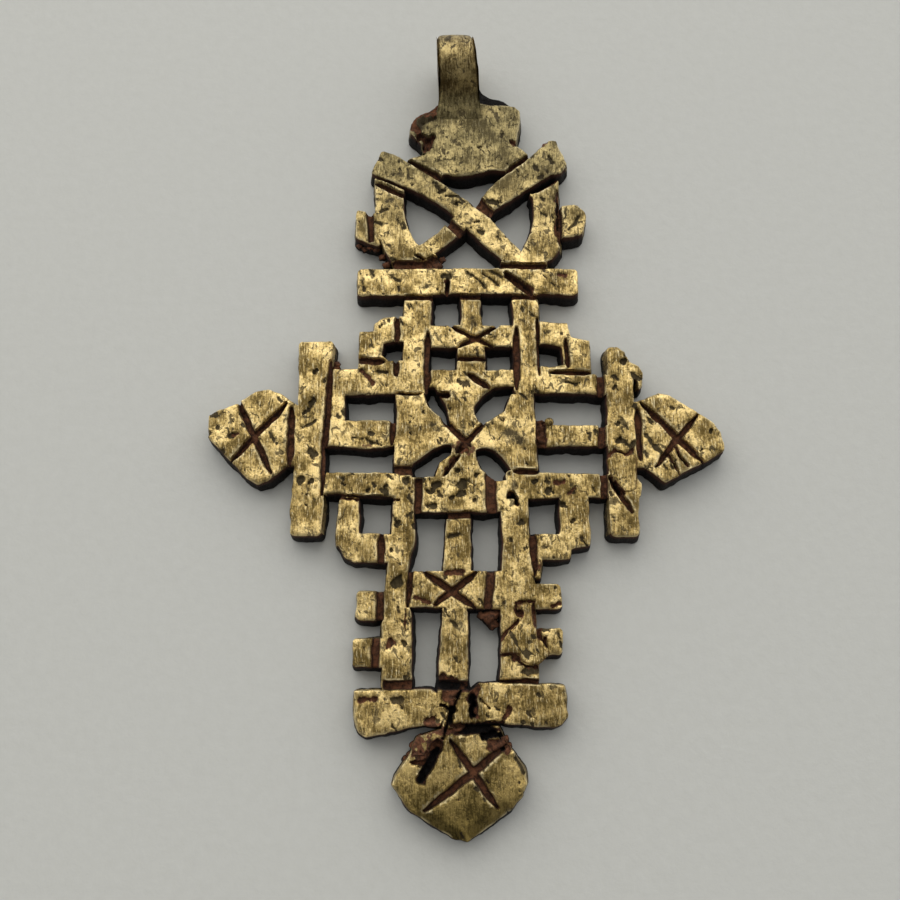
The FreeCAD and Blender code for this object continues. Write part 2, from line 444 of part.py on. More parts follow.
def file_arms():
    left_side, right_side = -BAR_REACH - 0.1, BAR_REACH - 0.2
    strips = ["left_upper_arm", "left_middle_arm", "left_lower_arm", "left_arm_link", "left_end_bar"]
    groove((left_side + 0.4, UPPER_TOP + 1.0), (left_side - 0.1, LOWER_FOOT + 0.2), strips)
    strips = ["right_upper_arm", "right_middle_arm", "right_lower_arm", "right_end_bar"]
    groove((right_side + 0.1, UPPER_TOP - 0.4), (right_side, LOWER_FOOT - 0.4), strips, width=0.7,
           blunt=True)
    groove((-WING_HALF - 0.2, UPPER_FOOT), (-WING_HALF - 0.3, MID_FOOT),
           ["left_middle_arm", "centre_left_wing"])
    groove((WING_HALF + 0.7, MID_TOP + 0.3), (WING_HALF + 0.6, MID_FOOT - 0.2), ["right_middle_arm"],
           width=1.0, blunt=True)
    groove((-WING_HALF, LOWER_TOP + 0.2), (-5.2, LOWER_TOP + 0.2), ["centre_left_wing"], width=0.9,
           blunt=True)
    groove((4.8, LOWER_TOP), (WING_HALF + 0.3, LOWER_TOP), ["centre_right_wing", "right_lower_arm"],
           width=0.5)
    groove((-WING_HALF, UPPER_FOOT), (-4.3, UPPER_FOOT), ["centre_left_wing", "left_upper_arm"],
           width=0.3)
    groove((LOWER_LEFT - 0.6, LOWER_FOOT), (-BAR_REACH + 0.3, LOWER_FOOT + 0.3), ["left_lower_arm"],
           width=0.3)
    wings = ["centre_top_wing", "centre_left_wing", "centre_right_wing", "centre_bottom_wing"]
    groove((-2.4, MID_TOP + 0.2), (0.6, -0.3), wings, width=0.6)
    groove((2.1, MID_TOP - 0.2), (-0.9, -1.0), wings, width=0.5)
    groove((-0.5, -1.2), (-2.1, LOWER_TOP - 0.4), wings, width=0.3)
    groove((LOWER_LEFT + HALF_RAIL + 0.4, LOWER_TOP - 0.6), (LOWER_LEFT + HALF_RAIL + 0.4, -WING_FOOT),
           ["centre_bottom_wing"], width=0.7, blunt=True)
    groove((LOWER_RIGHT - HALF_RAIL - 0.95, LOWER_TOP), (LOWER_RIGHT - HALF_RAIL - 0.95, -WING_FOOT),
           ["centre_bottom_wing"], width=1.0, blunt=True)
    # crosses filed on the two side points, and the spindle grooves at their roots
    foot = TERMINAL_FOOT
    groove((-BAR_OUT - 5.9, foot + 8.8), (-BAR_OUT - 2.1, foot + 1.0), ["left_terminal"])
    groove((-BAR_OUT - 0.8, foot + 8.4), (-BAR_OUT - 6.2, foot + 2.2), ["left_terminal"])
    groove((-BAR_OUT - 0.4, foot + 8.0), (-BAR_OUT - 0.3, foot + 1.8), ["left_terminal"], width=0.7)
    groove((BAR_OUT + 0.6, foot + 8.4), (BAR_OUT + 6.7, foot + 2.0), ["right_terminal"])
    groove((BAR_OUT + 6.3, foot + 7.1), (BAR_OUT + 1.7, foot + 1.6), ["right_terminal"], width=0.5)
    for start, end in (((3.2, 3.2), (4.1, 1.1)), ((3.9, 3.4), (5.2, 1.6))):
        groove((BAR_OUT + start[0], foot + start[1]), (BAR_OUT + end[0], foot + end[1]),
               ["right_terminal"], width=0.25, depth=0.3)
    groove((BAR_OUT + 0.3, foot + 7.9), (BAR_OUT + 0.35, foot + 2.4), ["right_terminal"])
    groove((BAR_REACH + 0.4, LOWER_TOP - 0.75), (BAR_OUT - 0.7, LOWER_FOOT - 1.45), ["right_end_bar"],
           width=0.5)


# ---------------------------------------------------------------- lower lattice
def lay_lower_lattice():
    """Two rails, posts, the large plate, ears and nubs, and the foot bar in its two broken halves."""
    spread = FOOT_BAR_HALF - 0.6
    lay("foot_bar_left", drawn(-spread - 1.1, FOOT_FOOT - 0.9, spread - 0.6, FOOT_BAR_W + 0.9, [
        (0.00, 0.95), (0.28, 0.98), (0.54, 1.00), (0.82, 1.00), (0.90, 0.91), (1.00, 0.68),
        (0.99, 0.45), (0.91, 0.23), (0.70, 0.23), (0.44, 0.14), (0.13, 0.00), (0.05, 0.11),
        (0.01, 0.36)]))
    lay("foot_bar_right", drawn(BREAK_X, FOOT_FOOT, spread + 1.3, FOOT_BAR_W + 0.6, [
        (0.23, 1.00), (0.40, 1.00), (0.98, 0.93), (1.00, 0.26), (0.94, 0.07), (0.87, 0.00),
        (0.58, 0.06), (0.00, 0.10), (0.04, 0.50), (0.09, 0.67)]))
    foot_end = FOOT_TOP - UNDERLAP
    waist = -WING_FOOT - 3.0
    lay("lower_left_rail", strip(
        (LOWER_LEFT + 0.3, LOWER_TOP - 0.2, RAIL_W - 0.7), (LOWER_LEFT + 0.3, waist, RAIL_W - 0.4),
        (LOWER_LEFT - 0.3, BIG_PLATE_TOP - 1.2, RAIL_W - 0.8),
        (LOWER_LEFT - 0.2, BIG_PLATE_FOOT - 0.6, RAIL_W), (LOWER_LEFT - 0.1, foot_end, RAIL_W)))
    lay("lower_right_rail", strip(
        (LOWER_RIGHT - 0.2, LOWER_TOP - 0.6, RAIL_W + 0.2), (LOWER_RIGHT + 0.1, waist, RAIL_W - 0.2),
        (LOWER_RIGHT + 0.2, BIG_PLATE_TOP - 1.2, RAIL_W + 0.6),
        (LOWER_RIGHT + 0.1, foot_end, RAIL_W + 0.9)))
    middle = LOWER_AXIS
    lay("lower_saltire_plate", worn([
        (LOWER_LEFT, BIG_PLATE_FOOT + 0.2), (LOWER_RIGHT, BIG_PLATE_FOOT - 0.1),
        (LOWER_RIGHT, BIG_PLATE_TOP + 0.1), (LOWER_LEFT, BIG_PLATE_TOP)]))
    lay("lower_post_top", strip((middle + 0.2, -WING_FOOT + UNDERLAP, POST_W),
                                (middle - 0.1, BIG_PLATE_TOP - UNDERLAP, POST_W + 0.4)))
    lay("lower_post_foot", strip((middle - 0.3, BIG_PLATE_FOOT + UNDERLAP, POST_W),
                                 (middle - 0.5, foot_end, POST_W + 0.6)))
    lay("foot_break_fill", worn([
        (BREAK_X - 1.8, FOOT_TOP + 0.3), (BREAK_X + 1.8, FOOT_TOP + 0.5),
        (BREAK_X + 1.6, FOOT_TOP - 1.0), (BREAK_X + 0.9, FOOT_FOOT - 0.3),
        (BREAK_X - 1.2, FOOT_FOOT - 0.9), (BREAK_X - 0.7, FOOT_TOP - 1.9)]))
    lay("foot_terminal", drawn(POINT_X, POINT_FOOT, FOOT_TERMINAL_W, FOOT_TERMINAL_L + FOOT_GAP, [
        (0.18, 0.91), (0.15, 0.80), (0.00, 0.49), (0.07, 0.38), (0.15, 0.26), (0.31, 0.14),
        (0.47, 0.02), (0.56, 0.00), (0.71, 0.11), (0.87, 0.28), (0.95, 0.39), (1.00, 0.51),
        (0.98, 0.62), (0.92, 0.75), (0.84, 0.89), (0.80, 1.00), (0.40, 1.00)]))
    lay_lower_ears()
    lay_nubs()


def lay_lower_ears():
    """L-shaped ears that hang from the lower arms and turn in to the rails."""
    edge = LOWER_LEFT - HALF_RAIL + UNDERLAP
    reach = LOWER_LEFT - HALF_RAIL - EAR_W + 1.0
    lay("lower_left_ear", outline([
        (reach, LOWER_FOOT + UNDERLAP), (reach - 0.3, LOWER_FOOT - 4.4),
        (reach + 0.7, LOWER_FOOT - 5.9), (reach + 1.5, LOWER_FOOT - EAR_H - 0.6),
        (edge, LOWER_FOOT - EAR_H - 0.6), (edge, LOWER_FOOT - EAR_H + EAR_STRIP),
        (reach + 2.0, LOWER_FOOT - EAR_H + EAR_STRIP), (reach + 1.9, LOWER_FOOT + UNDERLAP)]))
    edge = LOWER_RIGHT + HALF_RAIL - UNDERLAP
    reach = LOWER_RIGHT + HALF_RAIL + EAR_W + 0.3
    lay("lower_right_ear", outline([
        (reach - 2.7, LOWER_FOOT + UNDERLAP), (reach - 2.8, LOWER_FOOT - EAR_H + EAR_STRIP),
        (edge, LOWER_FOOT - EAR_H + EAR_STRIP), (edge, LOWER_FOOT - EAR_H - 2.4),
        (edge + 1.7, LOWER_FOOT - EAR_H - 2.2), (edge + 1.9, LOWER_FOOT - EAR_H - 0.3),
        (reach - 2.0, LOWER_FOOT - EAR_H - 0.2), (reach - 1.9, LOWER_FOOT - EAR_H + 0.8),
        (reach, LOWER_FOOT - EAR_H + 1.0), (reach, LOWER_FOOT + UNDERLAP)]))


def lay_nubs():
    """Two square nubs on each side of the shaft."""
    left = LOWER_LEFT - HALF_RAIL - 0.1
    right = LOWER_RIGHT + HALF_RAIL + 0.5
    for name, foot, reach in (("left_nub_upper", BIG_PLATE_FOOT - 1.0, NUB_W),
                              ("left_nub_lower", BIG_PLATE_FOOT - 5.4, NUB_W + 0.2)):
        lay(name, block(left - reach, foot, left + 1.2, foot + NUB_H))
    for name, foot, reach in (("right_nub_upper", BIG_PLATE_FOOT, NUB_W - 0.2),
                              ("right_nub_lower", BIG_PLATE_FOOT - 4.2, NUB_W - 0.2)):
        lay(name, block(right - 1.2, foot, right + reach, foot + NUB_H - 0.3))


def file_lower_lattice():
    across = LOWER_LEFT - HALF_RAIL
    rails = ["lower_left_rail", "lower_post_foot"]
    groove((across, FOOT_TOP + 0.4), (LOWER_AXIS + 1.4, FOOT_TOP + 0.4), rails, width=0.8, blunt=True)
    groove((LOWER_RIGHT - 1.8, FOOT_TOP + 0.5), (LOWER_RIGHT + 2.0, FOOT_TOP + 0.6),
           ["lower_right_rail"], width=0.6, blunt=True)
    top, foot = BIG_PLATE_TOP, BIG_PLATE_FOOT
    groove((LOWER_AXIS - 3.3, top), (LOWER_AXIS + 1.8, foot), ["lower_saltire_plate"])
    groove((LOWER_AXIS + 1.9, top), (LOWER_AXIS - 2.3, foot + 0.3), ["lower_saltire_plate"])
    groove((LOWER_RIGHT - 2.4, top + 0.1), (LOWER_RIGHT - 2.7, foot), ["lower_saltire_plate"],
           width=0.8, blunt=True)
    groove((LOWER_LEFT + 1.4, BIG_PLATE_TOP + 2.2), (LOWER_LEFT + 0.8, foot + 0.2),
           ["lower_left_rail", "lower_saltire_plate"], width=0.5)
    groove((LOWER_AXIS - 1.2, -WING_FOOT - 0.3), (LOWER_AXIS + 1.5, -WING_FOOT - 0.3),
           ["lower_post_top"], width=0.6, blunt=True)
    groove((LOWER_RIGHT - 0.5, LOWER_FOOT + 0.6), (LOWER_RIGHT + 0.1, LOWER_FOOT - 0.6),
           ["lower_right_rail", "right_lower_arm"], width=0.8)
    left_edge = LOWER_LEFT - HALF_RAIL - 0.4
    ear_top, ear_foot = LOWER_FOOT - EAR_H + EAR_STRIP, LOWER_FOOT - EAR_H - 2.0
    groove((left_edge, ear_top), (left_edge - 0.1, ear_foot + 0.4),
           ["lower_left_ear", "lower_left_rail"], width=0.7)
    right_edge = LOWER_RIGHT + HALF_RAIL + 0.3
    groove((right_edge, ear_top + 0.2), (right_edge + 0.1, ear_foot), ["lower_right_ear"], width=0.8)
    for name, foot, gap in (("left_nub_upper", BIG_PLATE_FOOT - 1.0, 0.5),
                            ("left_nub_lower", BIG_PLATE_FOOT - 5.4, 0.8)):
        x = LOWER_LEFT - HALF_RAIL - gap
        groove((x, foot), (x, foot + NUB_H), [name], width=0.7, blunt=True)
    groove((BREAK_X - 0.6, FOOT_FOOT - 0.2), (BREAK_X + 4.2, FOOT_FOOT - 0.3),
           ["foot_terminal", "foot_bar_right"], width=0.7)
    groove((BREAK_X + 4.2, FOOT_FOOT - 0.2), (BREAK_X + 5.8, FOOT_FOOT - 0.6), ["foot_terminal"], width=0.5)
    groove((POINT_X + 5.4, POINT_TOP - 0.5), (POINT_X + 9.8, POINT_TOP - 6.4), ["foot_terminal"])
    groove((POINT_X + 10.7, POINT_TOP - 1.0), (POINT_X + 3.1, POINT_TOP - 6.7), ["foot_terminal"])
    groove((POINT_X + 4.4, POINT_TOP - 1.2), (POINT_X + 2.6, POINT_TOP - 4.3), ["foot_terminal"], width=0.8)
    groove((BREAK_X + 1.8, FOOT_TOP - 0.4), (BREAK_X + 1.9, FOOT_TOP - 2.5), ["foot_bar_right"], width=0.8)


# ---------------------------------------------------------------- repairs and build
def make_patches():
    """Flowed metal that stands a little proud: on the right end bar and down the lower right rail."""
    bar = drawn(BAR_REACH + 0.3, -END_BAR_BELOW + 3.0, END_BAR_W, BAR_PATCH_H, [
        (0.00, 0.85), (0.12, 1.00), (0.80, 1.00), (0.88, 0.57), (0.96, 0.40), (0.90, 0.26),
        (0.82, 0.02), (0.68, 0.00), (0.58, 0.15), (0.32, 0.45), (0.12, 0.53)])
    rail = drawn(LOWER_RIGHT - 1.4, BIG_PLATE_FOOT - 5.2, RAIL_W + 1.4, RAIL_PATCH_H, [
        (0.46, 0.97), (0.68, 1.00), (0.72, 0.78), (0.80, 0.47), (0.98, 0.27), (0.87, 0.07),
        (0.72, 0.00), (0.52, 0.02), (0.38, 0.12), (0.34, 0.21), (0.15, 0.14), (0.00, 0.15),
        (0.02, 0.28), (0.14, 0.45), (0.34, 0.63), (0.39, 0.79)])
    for name, plan, under in (("right_bar_patch", bar, "right_end_bar"),
                              ("right_rail_patch", rail, "lower_right_rail")):
        plan.translate(Vector(0, 0, THICK))
        raised = plan.extrude(Vector(0, 0, PATCH_THICK))
        footprint = members[under].copy()
        footprint.translate(Vector(0, 0, THICK))
        solids[name] = raised.common(footprint.extrude(Vector(0, 0, PATCH_THICK)))
        # the strip is not grooved under the patch
        bed = plan.copy()
        bed.translate(Vector(0, 0, -GROOVE_DEPTH))
        below = bed.extrude(Vector(0, 0, GROOVE_DEPTH))
        under_plan = members[under].copy()
        under_plan.translate(Vector(0, 0, THICK - GROOVE_DEPTH))
        below = below.common(under_plan.extrude(Vector(0, 0, GROOVE_DEPTH)))
        solids[under] = solids[under].fuse(below).removeSplitter()


def build():
    lay_upper_lattice()
    lay_arms()
    lay_lower_lattice()
    for name, plan in members.items():
        solids[name] = plan.extrude(Vector(0, 0, THICK))
    file_head()
    file_upper_lattice()
    file_arms()
    file_lower_lattice()
    make_loop()
    make_patches()

    everything = Part.makeCompound(list(solids.values())).BoundBox
    shift = Vector(-everything.Center.x, -everything.Center.y, -everything.ZMin)
    os.makedirs("parts", exist_ok=True)
    for name, shape in sorted(solids.items()):
        shape.translate(shift)
        if not shape.isValid() or len(shape.Solids) != 1:
            print("CHECK", name, "valid", shape.isValid(), "solids", len(shape.Solids))
        shape.Solids[0].exportStep("parts/" + name + ".step")
        box = shape.BoundBox
        print(f"{name:24s} x {box.XMin:7.2f} {box.XMax:7.2f}  y {box.YMin:7.2f} {box.YMax:7.2f}"
              f"  z {box.ZMin:5.2f} {box.ZMax:5.2f}  volume {shape.Volume:8.2f}")
    print("size", round(everything.XLength, 2), round(everything.YLength, 2),
          round(everything.ZLength, 2))
    print("shift", shift, "loop centre", LOOP_X + shift.x, LOOP_Y + shift.y, LOOP_R)


build()
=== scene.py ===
"""Looks of a hand-cast brass neck cross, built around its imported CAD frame.

Each strip of the frame is a plain prism with square-cut grooves.  Here each one is rebuilt as worn cast
metal: its plan is read from the frame, its edge wanders as a hand cuts it, its top is filed, pitted and
grooved, and its walls flare to the back.  Plan sizes below are in millimetres.
"""
import json
import math

import bpy
import numpy as np
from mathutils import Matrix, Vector
from mathutils.geometry import delaunay_2d_cdt


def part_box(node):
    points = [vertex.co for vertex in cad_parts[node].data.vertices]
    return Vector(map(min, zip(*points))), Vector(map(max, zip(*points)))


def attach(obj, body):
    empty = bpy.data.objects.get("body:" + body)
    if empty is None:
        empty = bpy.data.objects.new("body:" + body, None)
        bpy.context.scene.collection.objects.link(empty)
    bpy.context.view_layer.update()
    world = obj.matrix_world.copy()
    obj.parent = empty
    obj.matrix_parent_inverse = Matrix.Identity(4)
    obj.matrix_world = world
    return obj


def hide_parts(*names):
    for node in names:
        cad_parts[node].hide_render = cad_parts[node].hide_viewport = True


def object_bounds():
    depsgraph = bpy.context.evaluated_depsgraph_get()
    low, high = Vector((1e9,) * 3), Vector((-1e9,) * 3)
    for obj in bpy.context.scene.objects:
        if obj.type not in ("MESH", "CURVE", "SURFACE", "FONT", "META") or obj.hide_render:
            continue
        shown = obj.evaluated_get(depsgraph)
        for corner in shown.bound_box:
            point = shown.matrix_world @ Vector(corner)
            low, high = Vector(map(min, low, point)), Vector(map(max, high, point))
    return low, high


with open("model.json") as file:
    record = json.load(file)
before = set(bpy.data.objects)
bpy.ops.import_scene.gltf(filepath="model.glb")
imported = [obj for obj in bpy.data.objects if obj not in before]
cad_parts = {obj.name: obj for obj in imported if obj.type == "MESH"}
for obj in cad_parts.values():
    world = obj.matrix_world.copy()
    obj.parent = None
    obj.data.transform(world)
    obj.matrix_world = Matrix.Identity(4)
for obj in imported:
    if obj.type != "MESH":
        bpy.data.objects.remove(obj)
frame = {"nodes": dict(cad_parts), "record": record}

CAD_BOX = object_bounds()
MM = 0.001

# ---- sizes, millimetres
CELL = 0.04              # raster cell of the plan
MARGIN = 1.5             # raster border round the cross
STEP_EDGE = 0.15         # spacing of points along an outline
STEP_FINE = 0.11         # point lattice at grooves and pits
COARSE = 3               # every third lattice point on plain metal
STEP_BACK = 0.55         # point lattice of the back
GROOVE_SOFT = 0.055      # how far a groove's edge is softened
FLARE = 0.28             # how far a wall leans out at the back
GROOVE_DEPTH = 0.7
GROOVE_DEEPER = 1.2      # grooves are this many times as deep as in the frame
FLARE_STEPS = (0.05, 0.16, 0.34, 0.55, 0.77, 0.94, 1.0)  # rows of a wall, as shares of its height
CLAY_FROM = 0.79         # a carved mark at least this dirty holds burnt clay
PIT_DEPTH = 0.12
LEAST_METAL = 0.20       # metal left under the deepest hole
PATCH_RISE = 0.16        # flowed metal above the strip it lies on
LOOP = "suspension_loop"
GUSSET = "neck_gusset"
PATCHES = ("right_bar_patch", "right_rail_patch")

LENS, SENSOR = 38.6, 36.0
CAMERA_AT = (-1.49, -31.885, 94.7)
CAMERA_TILT = 16.0       # degrees, towards the top of the cross
LAMP_AT = (-0.28, 0.50, 0.45)  # metres, as the next line is
LAMP_SIZE = (1.1, 0.70)
LAMP_WATTS, LAMP_TILT = 2.0, -30.0

lattice = [name for name in sorted(frame["nodes"]) if name not in PATCHES + (LOOP, GUSSET)]
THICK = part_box("neck_plate")[1].z / MM


# ---- noise
def lattice_value(ix, iy, seed):
    value = (ix * 374761393 + iy * 668265263 + seed * 974634777) & 0xFFFFFFFF
    value = ((value ^ (value >> 13)) * 1274126177) & 0xFFFFFFFF
    return ((value ^ (value >> 16)) & 0xFFFF) / 65535.0


def noise(x, y, seed):
    """Smooth noise from -1 to 1, about one bump per unit."""
    ix, iy = np.floor(x).astype(np.int64), np.floor(y).astype(np.int64)
    u, v = x - ix, y - iy
    u, v = u * u * (3 - 2 * u), v * v * (3 - 2 * v)
    near = lattice_value(ix, iy, seed) * (1 - u) + lattice_value(ix + 1, iy, seed) * u
    far = lattice_value(ix, iy + 1, seed) * (1 - u) + lattice_value(ix + 1, iy + 1, seed) * u
    return 2 * (near * (1 - v) + far * v) - 1


def rough(x, y, seed, octaves=3):
    """Noise from -1 to 1 with finer bumps on the coarse ones."""
    total, weight, scale = 0.0, 1.0, 1.0
    for octave in range(octaves):
        total = total + weight * noise(x * scale + 7.3 * octave, y * scale - 3.1 * octave, seed + octave)
        weight *= 0.5
        scale *= 2.03
    return total / (2 - 2 * weight)


def ramp(value, low, high):
    """Smooth step from 0 at the low limit to 1 at the high one."""
    share = np.clip((value - low) / (high - low), 0, 1)
    return share * share * (3 - 2 * share)


# ---- plan of the frame
def cad_triangles(name):
    """A node's triangles in millimetres, and their normals."""
    mesh = frame["nodes"][name].data
    mesh.calc_loop_triangles()
    points = np.array([v.co for v in mesh.vertices]) / MM
    corners = np.array([t.vertices for t in mesh.loop_triangles])
    triangles = points[corners]
    normals = np.cross(triangles[:, 1] - triangles[:, 0], triangles[:, 2] - triangles[:, 0])
    length = np.linalg.norm(normals, axis=1)
    keep = length > 1e-9
    return triangles[keep], normals[keep] / length[keep, None]


class Plan:
    """Rasters of the cross seen from the front: where metal is, and how high the frame stands."""

    def __init__(self):
        low, high = Vector(CAD_BOX[0]) / MM, Vector(CAD_BOX[1]) / MM
        self.x0, self.y0 = low.x - MARGIN, low.y - MARGIN
        self.wide = int((high.x + MARGIN - self.x0) / CELL) + 1
        self.tall = int((high.y + MARGIN - self.y0) / CELL) + 1
        self.height, self.relief, self.dirt, self.stain = np.zeros((4, self.tall, self.wide))

    def draw(self, name):
        for corners, normal in zip(*cad_triangles(name)):
            if normal[2] > 0.5:
                self.fill(corners)

    def fill(self, corners):
        """Raises the cells under one level triangle to its height."""
        px = (corners[:, 0] - self.x0) / CELL - 0.5
        py = (corners[:, 1] - self.y0) / CELL - 0.5
        left, right = int(np.floor(px.min())), int(np.ceil(px.max())) + 1
        foot, top = int(np.floor(py.min())), int(np.ceil(py.max())) + 1
        xs, ys = np.meshgrid(np.arange(left, right), np.arange(foot, top))
        inside = np.ones(xs.shape, bool)
        for k in range(3):
            ax, ay, bx, by = px[k], py[k], px[(k + 1) % 3], py[(k + 1) % 3]
            inside &= (bx - ax) * (ys - ay) - (by - ay) * (xs - ax) >= -1e-6
        window = self.height[foot:top, left:right]
        window[inside] = np.maximum(window[inside], corners[0, 2])

    def measure(self):
        """Metal mask, softened height, and the distance to the open air."""
        self.metal = self.height > 0.1
        solid = blur(self.metal.astype(float), GROOVE_SOFT / CELL)
        self.soft = blur(self.height, GROOVE_SOFT / CELL) / np.maximum(solid, 1e-3)
        self.soft = THICK - GROOVE_DEEPER * (THICK - self.soft)
        self.cut = self.soft
        self.air = distance_to(~self.metal, 0.7)
        self.solid = solid
        self.soft = self.soft + self.relief
        self.lip = distance_to(self.cut < THICK - 0.12, 0.3)
        self.outside = self.flood()

    def flood(self):
        """Coarse map of the open air outside the cross, its windows left out."""
        skip = int(0.24 / CELL)
        coarse = self.metal[::skip, ::skip]
        free = ~(coarse | np.roll(coarse, 1, 0) | np.roll(coarse, 1, 1))
        seen = np.zeros(coarse.shape, bool)
        queue = [(0, 0)]
        seen[0, 0] = True
        while queue:
            row, column = queue.pop()
            for r, c in ((row + 1, column), (row - 1, column), (row, column + 1), (row, column - 1)):
                if 0 <= r < seen.shape[0] and 0 <= c < seen.shape[1] and free[r, c] and not seen[r, c]:
                    seen[r, c] = True
                    queue.append((r, c))
        full = np.kron(seen, np.ones((skip, skip)))[:self.tall, :self.wide]
        full = np.pad(full, [(0, self.tall - full.shape[0]), (0, self.wide - full.shape[1])])
        return distance_to(full > 0.5, 1.2)

    def stroke(self, points, width, soft=False):
        """Window of the raster round a line, and how deep in the line each cell is, 0 to 1."""
        points = np.array(points, float)
        pad = width + 0.3
        c0, r0 = ((points.min(axis=0) - pad - (self.x0, self.y0)) / CELL).astype(int)
        c1, r1 = ((points.max(axis=0) + pad - (self.x0, self.y0)) / CELL).astype(int)
        c0, r0 = max(c0, 0), max(r0, 0)
        c1, r1 = min(c1, self.wide), min(r1, self.tall)
        x, y = np.meshgrid(self.x0 + (np.arange(c0, c1) + 0.5) * CELL,
                           self.y0 + (np.arange(r0, r1) + 0.5) * CELL)
        gap = np.full(x.shape, 9.0)
        if len(points) == 1:
            gap = np.hypot(x - points[0, 0], y - points[0, 1])
        for here, ahead in zip(points, points[1:]):
            leg = ahead - here
            t = np.clip(((x - here[0]) * leg[0] + (y - here[1]) * leg[1]) / (leg @ leg), 0, 1)
            np.minimum(gap, np.hypot(x - here[0] - t * leg[0], y - here[1] - t * leg[1]), out=gap)
        ragged = min(0.55 * width, 0.26) * rough(x / 0.34, y / 0.50, 67)
        brim = 0.6 * width if soft else min(0.16, width / 3)
        return (slice(r0, r1), slice(c0, c1)), x, y, ramp(width / 2 - gap + ragged, -0.04, brim)

    def carve(self, width, depth, dirt, *points):
        """A ragged hollow along a line: burnt clay lies in a dirty one, dark tarnish in a clean one."""
        window, x, y, inside = self.stroke(points, width)
        floor = depth * inside * (1 + 0.25 * rough(x / 0.35, y / 0.35, 29))
        self.relief[window] = np.minimum(self.relief[window], -floor)
        layer, amount = (self.dirt, dirt) if dirt > CLAY_FROM else (self.stain, dirt + 0.2)
        layer[window] = np.maximum(layer[window], amount * inside)

    def dots(self, depth, dirt, slant, *places):
        """Small pits of one depth, each given by its place and its width."""
        for x, y, width in places:
            self.carve(width, depth, dirt, (x, y), (x + 0.2, y + slant))

    def crust(self, width, lift, dirt, *points):
        """A crumbly raised lump along a line."""
        window, x, y, inside = self.stroke(points, width)
        bumpy = 0.55 + 0.9 * rough(x / 0.38, y / 0.38, 47)
        self.relief[window] += lift * inside * bumpy
        self.dirt[window] = np.maximum(self.dirt[window], dirt * inside * ramp(1.15 - bumpy, 0.0, 0.7))

    def mound(self, width, lift, *points):
        """A smooth rise along a line, or with a negative lift a smooth fall."""
        window, _, _, inside = self.stroke(points, width, soft=True)
        self.relief[window] += lift * inside

    def bevel(self, width, fall, start, end):
        """A plane filed off along an edge that runs from start to end, the metal on its left."""
        window, x, y, _ = self.stroke([start, end], 2 * width)
        run = np.subtract(end, start) / np.hypot(*np.subtract(end, start))
        from_edge = run[0] * (y - start[1]) - run[1] * (x - start[0])
        ends = ramp((x - start[0]) * run[0] + (y - start[1]) * run[1], 0, 0.5)
        ends = ends * ramp((end[0] - x) * run[0] + (end[1] - y) * run[1], 0, 0.5)
        self.relief[window] -= fall * ends * np.clip(1 - from_edge / width, 0, 1.6)

    def smudge(self, width, amount, *points):
        """A dark tarnish stain."""
        window, _, _, inside = self.stroke(points, width, soft=True)
        self.stain[window] = np.maximum(self.stain[window], amount * inside)

    def read(self, raster, x, y):
        """The raster's values at places of the plan, smoothed between cells."""
        px = np.clip((np.asarray(x) - self.x0) / CELL - 0.5, 0, self.wide - 1.001)
        py = np.clip((np.asarray(y) - self.y0) / CELL - 0.5, 0, self.tall - 1.001)
        ix, iy = px.astype(int), py.astype(int)
        u, v = px - ix, py - iy
        near = raster[iy, ix] * (1 - u) + raster[iy, ix + 1] * u
        far = raster[iy + 1, ix] * (1 - u) + raster[iy + 1, ix + 1] * u
        return near * (1 - v) + far * v


def blur(raster, sigma):
    reach = int(3 * sigma + 1)
    kernel = np.exp(-0.5 * (np.arange(-reach, reach + 1) / sigma) ** 2)
    kernel /= kernel.sum()
    for axis in (0, 1):
        padded = np.pad(raster, [(reach, reach) if a == axis else (0, 0) for a in (0, 1)], mode="edge")
        size = raster.shape[axis]
        raster = sum(weight * np.take(padded, range(k, k + size), axis=axis)
                     for k, weight in enumerate(kernel))
    return raster


def distance_to(target, limit):
    """Distance in mm from each cell to the nearest target cell, no more than the limit."""
    reach = int(limit / CELL)
    columns = np.arange(target.shape[1])[None, :]
    before = np.maximum.accumulate(np.where(target, columns, -9999), axis=1)
    after = np.minimum.accumulate(np.where(target, columns, 9999)[:, ::-1], axis=1)[:, ::-1]
    level = np.minimum(np.minimum(columns - before, after - columns), reach + 1).astype(float) ** 2
    padded = np.pad(level, [(reach, reach), (0, 0)], constant_values=(reach + 1.0) ** 2)
    best = np.full(target.shape, (reach + 1.0) ** 2)
    for dy in range(-reach, reach + 1):
        np.minimum(best, padded[reach + dy:reach + dy + target.shape[0]] + dy * dy, out=best)
    return np.clip((np.sqrt(best) - 0.5) * CELL, 0, limit)


def outline_of(name):
    """The corners of a strip's foot, in order, anticlockwise."""
    triangles, _ = cad_triangles(name)
    floor = triangles[(triangles[:, :, 2] < 0.01).all(axis=1)][:, :, :2]
    keys = np.round(floor, 3)
    sides = {}
    places = {}
    for corners, exact in zip(keys, floor):
        names = [tuple(corner) for corner in corners]
        for key, place in zip(names, exact):
            places.setdefault(key, place)
        for k in range(3):
            a, b = names[k], names[(k + 1) % 3]
            if (b, a) in sides:
                del sides[(b, a)]
            else:
                sides[(a, b)] = True
    follow = {a: b for a, b in sides}
    start = min(follow)
    loop = [start]
    while follow[loop[-1]] != start:
        loop.append(follow[loop[-1]])
    points = np.array([places[key] for key in loop])
    ahead = np.roll(points, -1, axis=0)
    area = (points[:, 0] * ahead[:, 1] - ahead[:, 0] * points[:, 1]).sum()
    return points if area > 0 else points[::-1]


